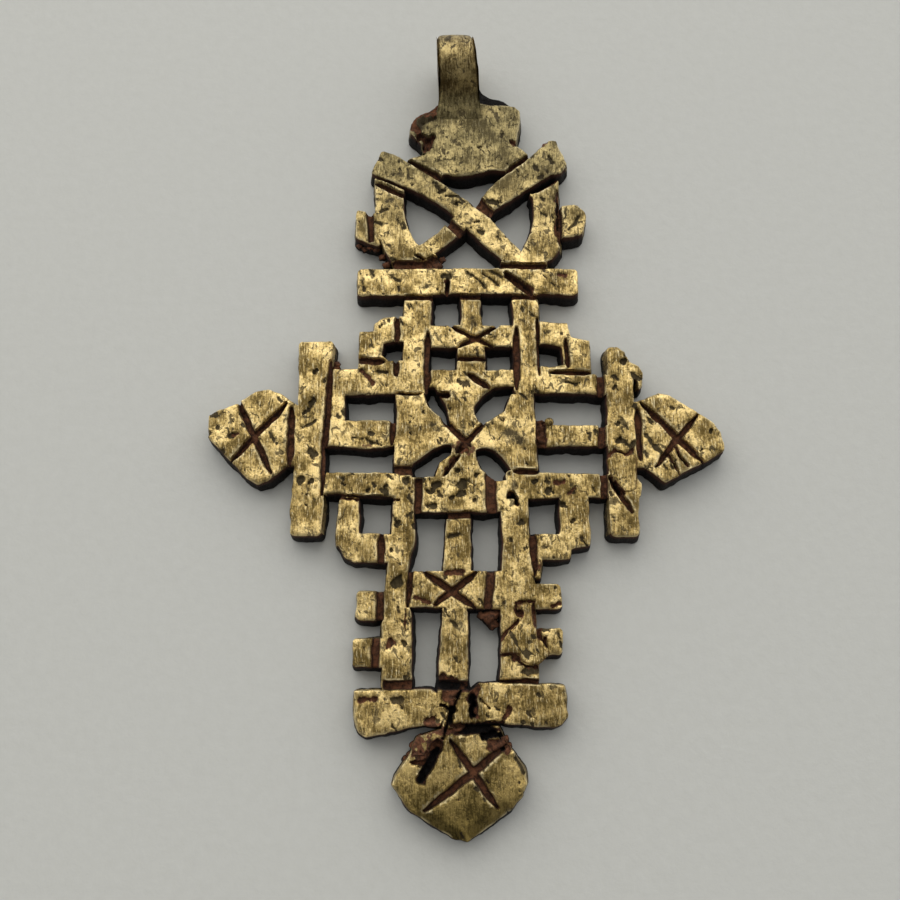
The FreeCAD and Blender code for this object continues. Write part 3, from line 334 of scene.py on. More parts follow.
def walk(points, step):
    """Points at even steps along each side of a closed outline, its corners kept."""
    walked = []
    for here, ahead in zip(points, np.roll(points, -1, axis=0)):
        length = np.linalg.norm(ahead - here)
        if length < 0.03:
            continue
        count = max(1, int(round(length / step)))
        walked += [here + (ahead - here) * k / count for k in range(count)]
    return np.array(walked)


def outward(points, reach):
    """Unit normals of a closed anticlockwise outline, averaged over a few neighbours."""
    tangent = np.roll(points, -1, axis=0) - np.roll(points, 1, axis=0)
    normal = np.stack([tangent[:, 1], -tangent[:, 0]], axis=1)
    normal /= np.maximum(np.linalg.norm(normal, axis=1), 1e-9)[:, None]
    total = sum(np.roll(normal, k, axis=0) for k in range(-reach, reach + 1))
    return total / np.maximum(np.linalg.norm(total, axis=1), 1e-9)[:, None]


# ---- the worn surface, as a function of place
def wander(x, y):
    """How far the hand strays from the drawn plan."""
    dx = 0.13 * rough(x / 2.3, y / 2.3, 11) + 0.05 * noise(x / 0.55, y / 0.55, 31)
    dy = 0.13 * rough(x / 2.3, y / 2.3, 17) + 0.05 * noise(x / 0.55, y / 0.55, 37)
    return dx, dy


def pits(x, y):
    """Casting pits and gouges, 0 to 1: slanted blotches, thick in some places and thin in others."""
    along, across = 0.82 * x + 0.57 * y, -0.57 * x + 0.82 * y
    blotch = rough(along / 0.55, across / 1.15, 53, 3)
    crowd = 0.18 * noise(x / 5.0, y / 5.0, 71) - 0.10 * ramp(y, 16.0, 22.0)
    return ramp(blotch + crowd, 0.47, 0.64)


def surface(plan, x, y):
    """Height of the front, its grime and its stain, at places of the plan."""
    base = plan.read(plan.soft, x, y)
    air = plan.read(plan.air, x, y)
    groove = np.clip((THICK - plan.read(plan.cut, x, y)) / GROOVE_DEPTH, 0, 1.6)
    dirt = plan.read(plan.dirt, x, y)
    hollow = np.maximum(groove, dirt)
    pit = pits(x, y) * (1 - np.clip(hollow * 1.5, 0, 1))
    radius = 0.15 + 0.09 * noise(x / 1.3, y / 1.3, 91) + 0.16 * ramp(noise(x / 3.1, y / 3.1, 93), 0.1, 0.7)
    edge = np.clip(1 - air / radius, 0, 1)
    drop = radius * (1 - np.sqrt(1 - edge * edge))
    swell = 0.10 * rough(x / 3.4, y / 3.4, 5, 2) + 0.045 * rough(x / 1.0, y / 1.3, 9) - 0.04
    floor_rough = 0.10 * hollow * rough(x / 0.35, y / 0.35, 23)
    z = base + swell + floor_rough - PIT_DEPTH * pit - 0.8 * drop
    grime = np.clip(np.maximum(1.5 * (groove - 0.25), dirt), 0, 1)
    stain = np.maximum(pit, plan.read(plan.stain, x, y))
    return np.clip(z, LEAST_METAL, THICK + 0.25), grime, stain


def lip_wear_and_highlight(plan, x, y):
    """1 on the lips of grooves and the outer edges, where the brass is lighter: partly kept bright by
    handling, partly a painted highlight.
    """
    lip = plan.read(plan.lip, x, y)
    air = plan.read(plan.air, x, y)
    bright = np.maximum(ramp(0.17 - lip, 0, 0.10) * ramp(lip, 0.0, 0.05), 0.8 * ramp(0.16 - air, 0, 0.12))
    return bright * ramp(0.55 + noise(x / 0.9, y / 0.9, 19), 0.1, 0.8)


# ---- marks of casting and wear, one by one
# A row is a carved mark: width, depth, dirt, then the points of its line.  Any other mark starts with the
# name of the method of Plan that draws it.
# The split through the foot bar, the burnt clay round it, and the foot's pits and chips.
FOOT_MARKS = [
    (1.5, 0.55, 0.85, (-2.2, -27.9), (-1.2, -28.2), (-1.5, -29)),
    (0.9, 0.5, 0.85, (-1.9, -29.2), (-1.2, -29.7)),
    (0.26, 1.3, 1, (-0.5, -28.6), (-0.9, -29.6), (-1.2, -30.3), (-1.5, -31), (-1.9, -32), (-2.1, -32.9)),
    (0.55, 1.8, 1, (-1.25, -30.3), (-1.55, -31.2)),
    (0.3, 1.2, 1, (-1.6, -30.4), (-1.9, -30.1), (-2.3, -30)),
    (0.9, 0.45, 0.9, (-0.5, -28.3), (0.2, -28.3), (1, -28.2)),
    (0.75, 0.7, 1, (0.9, -28.5), (0.7, -29.2), (0.4, -29.6)),
    (0.6, 1.6, 1, (0.75, -29.7), (0.45, -30.2), (0.5, -30.8)),
    (0.18, 0.25, 0.7, (1.3, -29.4), (1.9, -30), (2.2, -30.3)),
    (0.4, 0.4, 0.8, (0.95, -31)),
    (0.55, 0.45, 1, (3.9, -30.5), (4, -30.2)),
    (0.4, 0.4, 1, (3.7, -30.8), (3.5, -31.1)),
    (0.4, 0.9, 1, (-1.4, -31.75), (0.6, -31.7), (3.3, -31.6)),
    (0.75, 0.55, 0.8, (-1.7, -32.2), (0.5, -32.2), (2.4, -32.1)),
    (0.55, 1.3, 1, (5.1, -31.9), (5.7, -32.3)),
    (0.75, 1.8, 1, (1.6, -32.8), (2.6, -32.6), (3.2, -32.7)),
    (0.6, 0.3, 0.95, (-9.9, -29.6), (-8.4, -29.45)),
    (0.7, 0.22, 0.55, (-6.9, -29.5), (-5.9, -29.5)),
    ("smudge", 0.9, 0.5, (-7.2, -29.4), (-5.6, -29.7)),
    (0.55, 0.35, 0.8, (-3.7, -31.3), (-3, -31.2)),
    ("crust", 1.5, 0.12, 0.9, (-3.4, -31.9), (-2.5, -32.3), (-2.9, -33.2)),
    (0.35, 0.7, 1, (-2.4, -33.2), (-2.2, -33.5)),
    (1.3, 0.85, 0.8, (-2.7, -33.6), (-3.2, -34.4), (-3.6, -35.3)),
    (0.8, 1, 1, (-3.7, -35.6), (-4, -36.2), (-4.1, -36.6)),
    ("crust", 1.6, 0.75, 0.9, (-4.1, -33.4), (-4.4, -34.3)),
    ("crust", 0.9, 0.45, 0.9, (-3.5, -32.9), (-4, -33.6)),
    (0.3, 0.8, 1, (-5.1, -34.9), (-4.4, -35), (-3.7, -34.9)),
    (1.2, 0.5, 0.8, (2.4, -33.6), (3.3, -33.5), (3.7, -33.8)),
    (0.35, 0.35, 0.75, (4.6, -34.7), (5.1, -35.3), (5.3, -35.9)),
    (0.16, 0.15, 0.8, (-0.7, -38.2)),
    ("bevel", 0.85, 0.45, (0.1, -41.8), (3.9, -38.6)),
    ("bevel", 0.4, 0.25, (-4.4, -39.2), (0.1, -41.8)),
    ("bevel", 0.9, 0.35, (5.6, -36.9), (4.4, -34)),
]

# Pits, chips and the folded flow of metal along the two rails and the post between them.
RAILS_MARKS = [
    (0.75, 0.3, 0.8, (-7.2, -24.6), (-6.9, -24.2)),
    (0.4, 0.2, 0.6, (-5.9, -24.2), (-5.6, -24.5)),
    (0.75, 0.25, 0.75, (-6.9, -18.9), (-6.4, -18.4), (-6.2, -18.8)),
    (0.5, 0.2, 0.7, (-6.7, -13.1), (-6.5, -12.8)),
    (0.35, 0.18, 0.6, (-7.1, -15.6)),
    (0.3, 0.15, 0.5, (-6.5, -20.9), (-6.4, -21.6)),
    (0.16, 0.25, 1, (-5.7, -21.3), (-5.8, -22.6), (-5.75, -23.2)),
    (0.4, 0.25, 0.8, (-4.9, -20), (-4.4, -20.2), (-3.5, -20.6)),
    (0.55, 0.25, 0.9, (-1.8, -17.75), (-0.2, -17.5)),
    ("smudge", 0.7, 0.55, (-1.5, -14.1), (-0.1, -13.9)),
    (0.25, 0.15, 0.6, (-1.6, -14.2), (-0.6, -14)),
    ("smudge", 0.8, 0.5, (-1, -15.6), (-0.6, -16)),
    ("smudge", 1.1, 0.6, (-1.5, -22.1), (-0.9, -22.9)),
    (0.35, 0.15, 0.6, (-1.4, -22.3), (-0.9, -22.8)),
    ("smudge", 0.5, 0.5, (-1.4, -23.9)),
    (0.5, 0.2, 0.6, (5.4, -12.9), (5.6, -12.7)),
    (0.45, 0.2, 0.6, (4.4, -14.5)),
    ("smudge", 0.7, 0.5, (4.4, -18.9), (5.2, -18.7)),
    (0.5, 0.9, 1, (4.3, -10.2), (4.9, -10)),
    (0.35, 0.8, 1, (4.9, -10.1), (5.2, -11)),
    # the fold over the right rail: seams round the flow, an eye and two deep creases
    (0.22, 0.45, 1, (4.7, -20.55), (5.6, -20.45), (6.6, -20.35)),
    (0.2, 0.4, 1, (4.8, -20.8), (4.65, -21.2), (4.9, -21.7), (5.4, -21.8)),
    (0.45, 0.55, 1, (5, -21.5), (5.3, -21.4)),
    (0.32, 0.45, 1, (3.3, -23.8), (4.1, -23), (5, -22.3)),
    (0.22, 0.45, 1, (3.1, -25.45), (3.9, -25.3), (4.6, -25.3)),
    (0.65, 0.45, 0.85, (4.5, -25.5), (4.9, -25.8)),
    (0.25, 0.55, 1, (5, -26), (5.6, -26.45), (6.7, -26.55), (7.3, -26.1)),
    (0.16, 0.2, 0.6, (5.9, -22.4), (5.95, -23.6), (5.85, -24.6)),
    (0.45, 0.7, 1, (6.9, -22.9), (6.8, -23.7), (7.2, -24)),
    (0.45, 0.7, 1, (7.5, -23.8), (7.6, -24.5)),
    (0.9, 0.25, 0.7, (5.6, -26.9), (6.4, -26.8)),
    (0.35, 0.5, 0.9, (6.5, -20.4), (6.6, -21.6), (6.6, -22.6)),
    (0.5, 0.4, 0.8, (8.3, -20.8), (8.9, -20.5)),
    ("crust", 0.7, 0.25, 0.5, (7.2, -16.6), (6.9, -17.2)),
]

# Pits of the middle plates, the clay where their grooves cross, and the scrapes on the arms.
MIDDLE_MARKS = [
    ("crust", 1.5, 0.1, 0.45, (-0.6, -5), (0.4, -5.3)),
    (0.8, 0.3, 0.7, (-0.6, -5.3), (0.1, -5.4)),
    (0.42, 0.35, 0.85, (-1, -6.2), (-1.7, -7.2), (-2, -7.8)),
    ("dots", 0.22, 0.75, 0.15, (-2.9, -9, 0.8), (-3.5, -9.7, 0.6), (-0.4, -9, 1), (-0.5, -9.9, 0.6),
     (-3.3, -11.2, 0.6), (-1.4, -10.3, 0.35), (1.2, -8, 0.4), (0.9, -10.6, 0.3), (-0.8, -7.6, 0.35),
     (6.8, -8.7, 0.55), (8, -9.6, 0.6), (10.8, -9.6, 0.5), (10.4, -12.7, 0.55), (9.6, -11, 0.4),
     (-9.6, -9.6, 0.55), (-7.9, -9.2, 0.4), (3.6, -2.4, 0.45), (-5.9, -8.6, 0.5)),
    (0.5, 0.25, 0.8, (9, -8.8), (9.7, -8.6)),
    (0.35, 0.2, 0.8, (10.2, -9.8), (10.9, -9.3)),
    ("smudge", 2.1, 0.85, (4.4, -3.6), (5.6, -4.4)),
    ("smudge", 1.2, 0.55, (-3.4, -2.8), (-2.4, -3.4)),
    ("smudge", 0.9, 0.45, (-6, -2.9), (-5.3, -3.3)),
    ("smudge", 0.7, 0.45, (-8.3, -2.4), (-7.9, -2.7)),
    (0.65, 0.25, 0.8, (-10.4, 2.9), (-9.8, 2.1), (-9.3, 1.6)),
    (0.25, 0.2, 0.7, (-8.9, 2.9), (-7.9, 2.8)),
    (0.3, 0.2, 0.7, (10.2, 1.8), (11.2, 1.5), (11.6, 1.6)),
    (0.2, 0.15, 0.7, (-11.2, -4.1), (-9.9, -4.3), (-8.4, -4.9)),
    ("crust", 0.7, 0.1, 0.4, (-9.9, -5), (-9.3, -5.2)),
    (0.3, 0.5, 1, (-13, -10.2), (-10, -10.4), (-7, -10.5), (-6.5, -10.5)),
    (0.5, 0.35, 0.9, (-2.4, 0.5), (-1.7, 0.4)),
    ("smudge", 1.2, 0.6, (0.7, 8.8), (1.1, 7.9)),
    ("crust", 1.1, 0.35, 0.9, (7.6, -2.5), (7.7, -4.2)),
    ("crust", 0.7, 0.6, 0.1, (8.4, -2.5)),
]

# Slanting scrapes over the crossbar and the ragged seam under it.
CROSSBAR_MARKS = [
    (0.85, 0.3, 0.85, (4.6, 13.6), (5.6, 12.8), (7, 12)),
    (0.26, 0.18, 0.5, (1, 13.5), (1.7, 12.9), (2.3, 12.2)),
    (0.22, 0.15, 0.5, (1.9, 13.9), (3, 13.1), (3.7, 12.4)),
    (0.3, 0.16, 0.6, (0.2, 14), (1, 13.6)),
    (0.24, 0.15, 0.5, (2.8, 14.2), (4, 13.4)),
    (0.55, 0.22, 0.75, (-2.2, 13.7), (-1.5, 13.5)),
    (0.42, 0.3, 0.9, (-1.8, 13.2), (-2, 12.2)),
    ("smudge", 0.9, 0.6, (-4.4, 12.3), (-3.2, 12.5)),
    (0.6, 0.2, 0.8, (9.9, 13.8), (10.5, 13.7)),
    (0.3, 0.12, 0.6, (-7.7, 13.6), (-6.8, 13.1)),
    (0.25, 0.12, 0.6, (8.8, 13.1)),
    ("smudge", 1.1, 0.5, (6.6, 12.3), (7.6, 11.9)),
]

# Burnt clay and the bite on the left of the neck, and pits on the straps.
HEAD_MARKS = [
    (1, 0.9, 1, (-4.7, 30.3), (-3.9, 29.9), (-4.2, 29)),
    (0.6, 0.7, 1, (-3.7, 29.2), (-3.4, 30.3)),
    (0.7, 0.35, 0.9, (-5.5, 32.6), (-5.6, 31.6), (-5, 31)),
    (0.8, 0.25, 0.9, (-5, 33.1), (-3.9, 33.6), (-2.9, 34.2), (-2.4, 34.8)),
    ("smudge", 2.2, 0.8, (-5.1, 31.3), (-4.5, 32.5), (-3.2, 33.5)),
    ("mound", 3.2, 0.16, (-1.6, 34.2), (0.6, 34.2)),
    (0.45, 0.2, 0.6, (-4.4, 31.9), (-3.6, 32.4), (-3, 32.7)),
    ("crust", 0.8, 0.12, 0.6, (-4.3, 32.9), (-3.2, 33.2)),
    ("smudge", 0.8, 0.45, (2.2, 34.3), (3.3, 33.6), (3.6, 32.8)),
    ("smudge", 0.5, 0.5, (1.7, 31.3), (1.9, 31)),
    (0.35, 0.15, 0.6, (1.7, 29), (1.9, 29.1)),
    (0.3, 0.12, 0.5, (4.2, 30.3), (4.4, 30.7)),
    ("smudge", 0.6, 0.45, (-1.2, 29.6), (-0.6, 30)),
    (0.6, 0.4, 0.9, (5.3, 29.8), (5.6, 29.4)),
    ("smudge", 1.1, 0.55, (8.7, 26.6), (9.1, 25.9)),
    (0.4, 0.15, 0.7, (9.3, 27.8), (9.5, 27.1)),
    (0.6, 0.2, 0.8, (9, 29.7), (8.7, 29.4)),
    ("smudge", 1.1, 0.6, (-7.6, 25.8), (-6.7, 25.7)),
    ("smudge", 1, 0.75, (-8.3, 22.2), (-7.8, 22.5)),
    (0.45, 0.15, 0.6, (-8.9, 21.1), (-8.2, 21.3)),
    (0.35, 0.12, 0.6, (-9.5, 19.9), (-8.8, 19.6)),
    (0.3, 0.2, 0.7, (-3, 24.2), (-2.7, 23.9)),
    (0.45, 0.2, 0.7, (-2.5, 23.4), (-2.1, 23.7)),
    (0.28, 0.2, 0.7, (-1.9, 23), (-0.3, 23)),
    (0.35, 0.25, 0.7, (-0.9, 22.2), (-0.6, 21.9)),
    (0.4, 0.2, 0.7, (1.2, 19.9), (1.6, 20)),
    (0.35, 0.15, 0.6, (1.5, 18.9), (2.1, 18.7)),
    (0.5, 0.2, 0.7, (2.6, 22.4), (3.6, 22.2), (4.1, 22.6)),
    (0.4, 0.4, 0.85, (9.9, 23.2), (10, 21.8), (9.9, 20.2), (9.8, 18.5)),
    (0.28, 0.15, 0.6, (11.2, 19), (11.9, 19.8), (12.2, 20.5)),
    ("crust", 0.8, 0.3, 0.9, (-2.6, 15.4), (-2.2, 16.2)),
]

# Pits and cuts on the end bars and the two side terminals.
SIDES_MARKS = [
    ("dots", 0.22, 0.75, 0.2, (-15.4, -0.4, 0.75), (-15.7, -1.1, 0.55), (-15.1, -6, 0.7),
     (-15.5, -5.7, 0.5), (-16.3, -8.5, 0.9), (-15.4, -8.7, 0.6), (-15.3, 2.8, 0.4), (-16.2, -1.6, 0.35),
     (-23.5, -4, 0.6), (-25.2, -1.8, 0.7), (-22.6, -1.5, 0.45), (16.2, 3.9, 0.6), (16.4, 4.6, 0.4),
     (15, 1.1, 0.45), (15.2, -2.7, 0.4), (15.3, -4.4, 0.5), (23.4, -5.6, 0.35), (24.6, -3.6, 0.4),
     (16.6, -4.9, 0.6)),
    (0.3, 0.15, 0.8, (-23.3, -3.8), (-22.7, -3.7)),
    (0.22, 0.12, 0.7, (-16.2, -3.2), (-15, -2.4)),
    (0.35, 0.4, 1, (14.2, -6.1), (14.9, -5.5), (15.4, -5.6), (16, -5.9), (16.6, -5.4)),
    (0.45, 0.8, 1, (14.3, -8.2), (14.9, -8.9), (15.6, -9.8)),
    (0.28, 0.35, 0.9, (21.1, -5.2), (21.4, -6.2), (22.1, -7)),
    (0.28, 0.35, 0.9, (20.2, -5.7), (20.8, -7), (21.2, -7.9)),
]


# ---- meshes
def triangulate(rim, inner):
    """Triangles over an outline and the points inside it; the outline's points come first."""
    points = [Vector(p) for p in rim] + [Vector(p) for p in inner]
    _, _, faces, sources, _, _ = delaunay_2d_cdt(points, [], [list(range(len(rim)))], 1, 1e-5)
    order = [source[0] if source else None for source in sources]
    if None in order:
        raise RuntimeError("an outline crosses itself")
    return [[order[k] for k in face] for face in faces]


def lattice_points(low, high, step):
    """A triangular lattice over a box, with each point's column and row."""
    rows = np.arange(int(low[1] / (step * 0.866)) - 1, int(high[1] / (step * 0.866)) + 2)
    columns = np.arange(int(low[0] / step) - 1, int(high[0] / step) + 2)
    column, row = np.meshgrid(columns, rows)
    x = (column + 0.5 * (row % 2)) * step
    y = row * step * 0.866
    return x.ravel(), y.ravel(), column.ravel(), row.ravel()


def inside(rim, x, y):
    hit = np.zeros(len(x), bool)
    for (ax, ay), (bx, by) in zip(rim, np.roll(rim, -1, axis=0)):
        if ay == by:
            continue
        crosses = (ay > y) != (by > y)
        hit ^= crosses & (x < (bx - ax) * (y - ay) / (by - ay) + ax)
    return hit


def clearance(rim, x, y):
    """Distance from points to the nearest outline point."""
    best = np.full(len(x), 9.0)
    for rx, ry in rim:
        np.minimum(best, np.hypot(x - rx, y - ry), out=best)
    return best


def front_points(plan, rim, normals):
    """Points inside a strip: two rows along its rim, a fine lattice at its detail, a coarse one elsewhere."""
    low, high = rim.min(axis=0), rim.max(axis=0)
    x, y, column, row = lattice_points(low, high, STEP_FINE)
    keep = inside(rim, x, y)
    x, y, column, row = x[keep], y[keep], column[keep], row[keep]
    coarse = (column % COARSE == 0) & (row % (2 * COARSE) == 0)
    coarse |= ((column + 1) % COARSE == 0) & (row % (2 * COARSE) == COARSE)
    base = plan.read(plan.soft, x, y)
    slope = abs(plan.read(plan.soft, x + 0.1, y) - plan.read(plan.soft, x - 0.1, y))
    slope += abs(plan.read(plan.soft, x, y + 0.1) - plan.read(plan.soft, x, y - 0.1))
    pit = pits(x, y)
    slope += 0.4 * (plan.read(plan.dirt, x, y) > 0.15)
    slope += 0.25 * (abs(pits(x + 0.1, y) - pit) + abs(pits(x, y + 0.1) - pit))
    middling = (column % 2 == 0) & (row % 2 == 0)
    floor = (base < THICK - 0.3) & middling
    wanted = coarse | (slope > 0.10) | floor
    x, y = x[wanted], y[wanted]
    rows = np.concatenate([rim - normals * depth for depth in (0.055, 0.13)])
    good = inside(rim, rows[:, 0], rows[:, 1]) & (clearance(rim, rows[:, 0], rows[:, 1]) > 0.05)
    rows = rows[good]
    clear = clearance(rim, x, y) > 0.19
    points = np.concatenate([rows, np.stack([x[clear], y[clear]], axis=1)])
    return thin(points, 0.045)


def points_inside(rim, step, gap):
    """A lattice of points inside an outline, all further from it than a gap."""
    x, y, _, _ = lattice_points(rim.min(axis=0), rim.max(axis=0), step)
    keep = inside(rim, x, y)
    x, y = x[keep], y[keep]
    clear = clearance(rim, x, y) > gap
    return np.stack([x[clear], y[clear]], axis=1)


def strayed(flat, level):
    """Points of the plan at their heights, moved as the hand strays."""
    dx, dy = wander(flat[:, 0], flat[:, 1])
    return np.stack([flat[:, 0] + dx, flat[:, 1] + dy, level], axis=1)


def thin(points, least):
    """Drops points that share a small cell with an earlier one."""
    cells = np.floor(points / least).astype(np.int64)
    _, first = np.unique(cells, axis=0, return_index=True)
    return points[np.sort(first)]


def openness_of(plan, rim):
    """How freely each outline point stands: 1 at open air, 0 where the strip meets its neighbour."""
    probe = rim + outward(rim, 0) * 0.10
    open_side = plan.read(plan.solid, probe[:, 0], probe[:, 1]) < 0.5
    soft = sum(np.roll(open_side.astype(float), k) for k in (-1, 0, 1)) / 3
    return np.where(open_side, np.maximum(soft, 0.4), 0.0)


def eased(rim, moved):
    """The outline with its chosen points drawn towards their neighbours, which rounds the corners."""
    for _ in range(2):
        middle = (np.roll(rim, 1, axis=0) + np.roll(rim, -1, axis=0)) / 2
        rim = np.where(moved[:, None], rim * 0.6 + middle * 0.4, rim)
    return rim


def wall_rows(plan, rim, edge, normals, openness):
    """Rows of points from the front edge down to the back, flared where the wall is open, and their clay:
    real clay plus painted shade that grows towards the back and is strongest on window walls and walls facing
    the foot.
    """
    bare_and_lit = (plan.read(plan.outside, rim[:, 0], rim[:, 1]) < 0.85) & (normals[:, 1] > -0.45)
    lean = FLARE * (1 + 0.45 * noise(rim[:, 0] / 1.7, rim[:, 1] / 1.7, 61))
    rows, wall_grime_and_shade = [], []
    for depth in FLARE_STEPS:
        ripple = 0.055 * rough(rim[:, 0] / 0.5 + 9 * depth, rim[:, 1] / 0.5 - 5 * depth, 83)
        out = openness * (lean * depth ** 0.8 + ripple * min(1, 6 * depth) - (0.10 if depth == 1.0 else 0))
        out = out + (1 - np.minimum(openness * 9, 1)) * 0.01
        rows.append(np.stack([edge[:, 0] + normals[:, 0] * out, edge[:, 1] + normals[:, 1] * out,
                              edge[:, 2] * (1 - depth)], axis=1))
        # painted shade: open outer walls away from the foot stay nearly clean, the rest take clay fast, and
        # all darken towards the back
        wall_grime_and_shade.append(np.clip(np.where(bare_and_lit, 0.02 + 0.62 * depth ** 0.7, 0.35 + 5 * depth), 0, 1))
    return rows, wall_grime_and_shade


def cast_strip(plan, name, top=None):
    """One strip of the lattice as a closed mesh: front, flared walls and back."""
    rim = walk(outline_of(name), STEP_EDGE)
    normals = outward(rim, 3)
    openness = openness_of(plan, rim)
    rim = eased(rim, openness > 0.9)
    count = len(rim)
    inner = front_points(plan, rim, outward(rim, 0))
    flat = np.concatenate([rim, inner])
    z, grime, pit = surface(plan, flat[:, 0], flat[:, 1])
    if top is not None:
        z, grime = top + 0.1 * rough(flat[:, 0], flat[:, 1], 13), np.ones(len(flat))
    # bright lips: real wear plus a painted highlight, kept off the clay
    lips = lip_wear_and_highlight(plan, flat[:, 0], flat[:, 1]) * (1 - np.minimum(2 * grime, 1))
    front = strayed(flat, z)
    rows, wall_grime_and_shade = wall_rows(plan, rim, front[:count], normals, openness)
    back = points_inside(rim, STEP_BACK, 0.3)
    level = 0.03 + 0.03 * rough(back[:, 0] / 1.5, back[:, 1] / 1.5, 3)
    verts = np.concatenate([front, *rows, strayed(back, level)])

    faces = triangulate(rim, inner)
    ring, base = list(range(count)), len(flat)
    for _ in rows:
        below = list(range(base, base + count))
        faces += [[ring[k], below[k], below[(k + 1) % count], ring[(k + 1) % count]] for k in range(count)]
        ring = below
        base += count
    order = ring + list(range(base, base + len(back)))
    faces += [[order[k] for k in reversed(face)] for face in triangulate(rim, back)]

    grime = np.concatenate([grime, *wall_grime_and_shade, np.full(len(back), 0.55)])
    pit = np.pad(pit, (0, len(verts) - len(pit)))
    return make_piece(name, verts, faces, grime, pit, np.pad(lips, (0, len(verts) - len(lips))))


def make_piece(name, verts, faces, grime, pit, lip=None):
    """An object of one closed mesh that carries its wear on its vertices, with the painted shade and painted
    highlight laid over it.
    """
    mesh = bpy.data.meshes.new(name + "_cast")
    mesh.from_pydata([tuple(v) for v in verts * MM], [], faces)
    lip = np.zeros(len(verts)) if lip is None else lip
    for label, values in (("grime", grime), ("pit", pit), ("lip", lip)):
        layer = mesh.attributes.new(label, "FLOAT", "POINT")
        layer.data.foreach_set("value", np.asarray(values, np.float32))
    mesh.validate()
    mesh.polygons.foreach_set("use_smooth", [True] * len(mesh.polygons))
    mesh.set_sharp_from_angle(angle=math.radians(55))
    piece = bpy.data.objects.new(name + "_cast", mesh)
    bpy.context.scene.collection.objects.link(piece)
    return piece


FLOW_OUTLINES = {
    "right_rail_patch": [
        (5.05, -20.75), (5.75, -20.6), (6.35, -20.85), (6.3, -21.9), (6.45, -22.7), (6.75, -23),
        (6.7, -23.8), (7.05, -24.2), (7.35, -24.9), (7.8, -24.95), (7.75, -25.4), (7.3, -25.8),
        (6.7, -26.35), (5.7, -26.25), (5.1, -25.85), (4.95, -25.25), (4.1, -25.15), (3.3, -25.3),
        (3.2, -24.8), (3.75, -23.9), (4.5, -23.1), (5.05, -22.45), (5.45, -21.9), (5.5, -21.4),
        (5.2, -21.2), (4.95, -21.3)],
    "right_bar_patch": [
        (14.05, -6.5), (14.35, -6.15), (15, -5.85), (15.9, -6.05), (16.6, -5.75), (17.05, -6.2), (17, -7.4),
        (17.1, -8.6), (16.9, -9.4), (16.2, -9.75), (15.6, -9.5), (15.1, -8.85), (14.5, -8.15), (14.1, -7.3)],
}


def flow(name):
    """A thin spill of brass lying on a strip: lobed plan, rounded brim, uneven top."""
    rim = walk(np.array(FLOW_OUTLINES[name])[::-1], 0.10)
    area = (rim[:, 0] * np.roll(rim[:, 1], -1) - np.roll(rim[:, 0], -1) * rim[:, 1]).sum()
    rim = rim if area > 0 else rim[::-1]
    for _ in range(3):
        rim = 0.5 * rim + 0.25 * (np.roll(rim, 1, axis=0) + np.roll(rim, -1, axis=0))
    count = len(rim)
    inner = points_inside(rim, 0.13, 0.07)
    flat = np.concatenate([rim, inner])
    brim = np.concatenate([np.zeros(count), clearance(rim, inner[:, 0], inner[:, 1])])
    rise = np.sqrt(1 - (1 - np.clip(brim / 0.30, 0, 1)) ** 2)
    level = THICK - 0.05 + PATCH_RISE * rise * (1 + 0.35 * rough(flat[:, 0] / 0.9, flat[:, 1] / 0.9, 77))
    top = strayed(flat, level)
    foot = top.copy()
    foot[:, 2] = THICK - 0.42
    sheet = triangulate(rim, inner)
    shift = len(flat)
    faces = sheet + [[k + shift for k in reversed(face)] for face in sheet]
    faces += [[k, k + shift, (k + 1) % count + shift, (k + 1) % count] for k in range(count)]
    grime = np.concatenate([np.clip(0.5 - 3 * brim, 0, 1), np.ones(len(flat))])
    stain = np.concatenate([pits(flat[:, 0], flat[:, 1]) * 0.8, np.zeros(len(flat))])
    return make_piece(name, np.concatenate([top, foot]), faces, grime, stain)


# ---- suspension loop
def loop_profile(cy, cz, outer_r):
    """Angle and reach, seen from the bore's axis, of the strap's outside and its sweep on to the neck."""
    lean = math.radians(152)
    touch = np.array([cy + outer_r * math.cos(lean), cz + outer_r * math.sin(lean)])
    knee = np.array([touch[0] - (touch[1] - THICK) * math.tan(math.pi - lean), THICK - 0.05])
    toe = np.array([knee[0] - 2.3, THICK - 0.14])
    t = np.linspace(0, 1, 60)[:, None]
    sweep = (1 - t) ** 2 * touch + 2 * t * (1 - t) * knee + t * t * toe
    foot = np.stack([np.full(12, toe[0]), np.linspace(toe[1], 0.02, 12)], axis=1)
    sole = np.stack([np.linspace(toe[0], cy, 20), np.full(20, 0.0)], axis=1)
    round_over = np.linspace(-math.pi / 2, lean, 80)
    arc = np.stack([cy + outer_r * np.cos(round_over), cz + outer_r * np.sin(round_over)], axis=1)
    edge = np.concatenate([arc, sweep, foot, sole])
    away = edge - np.array([cy, cz])
    return np.unwrap(np.arctan2(away[:, 1], away[:, 0])), np.hypot(away[:, 0], away[:, 1])


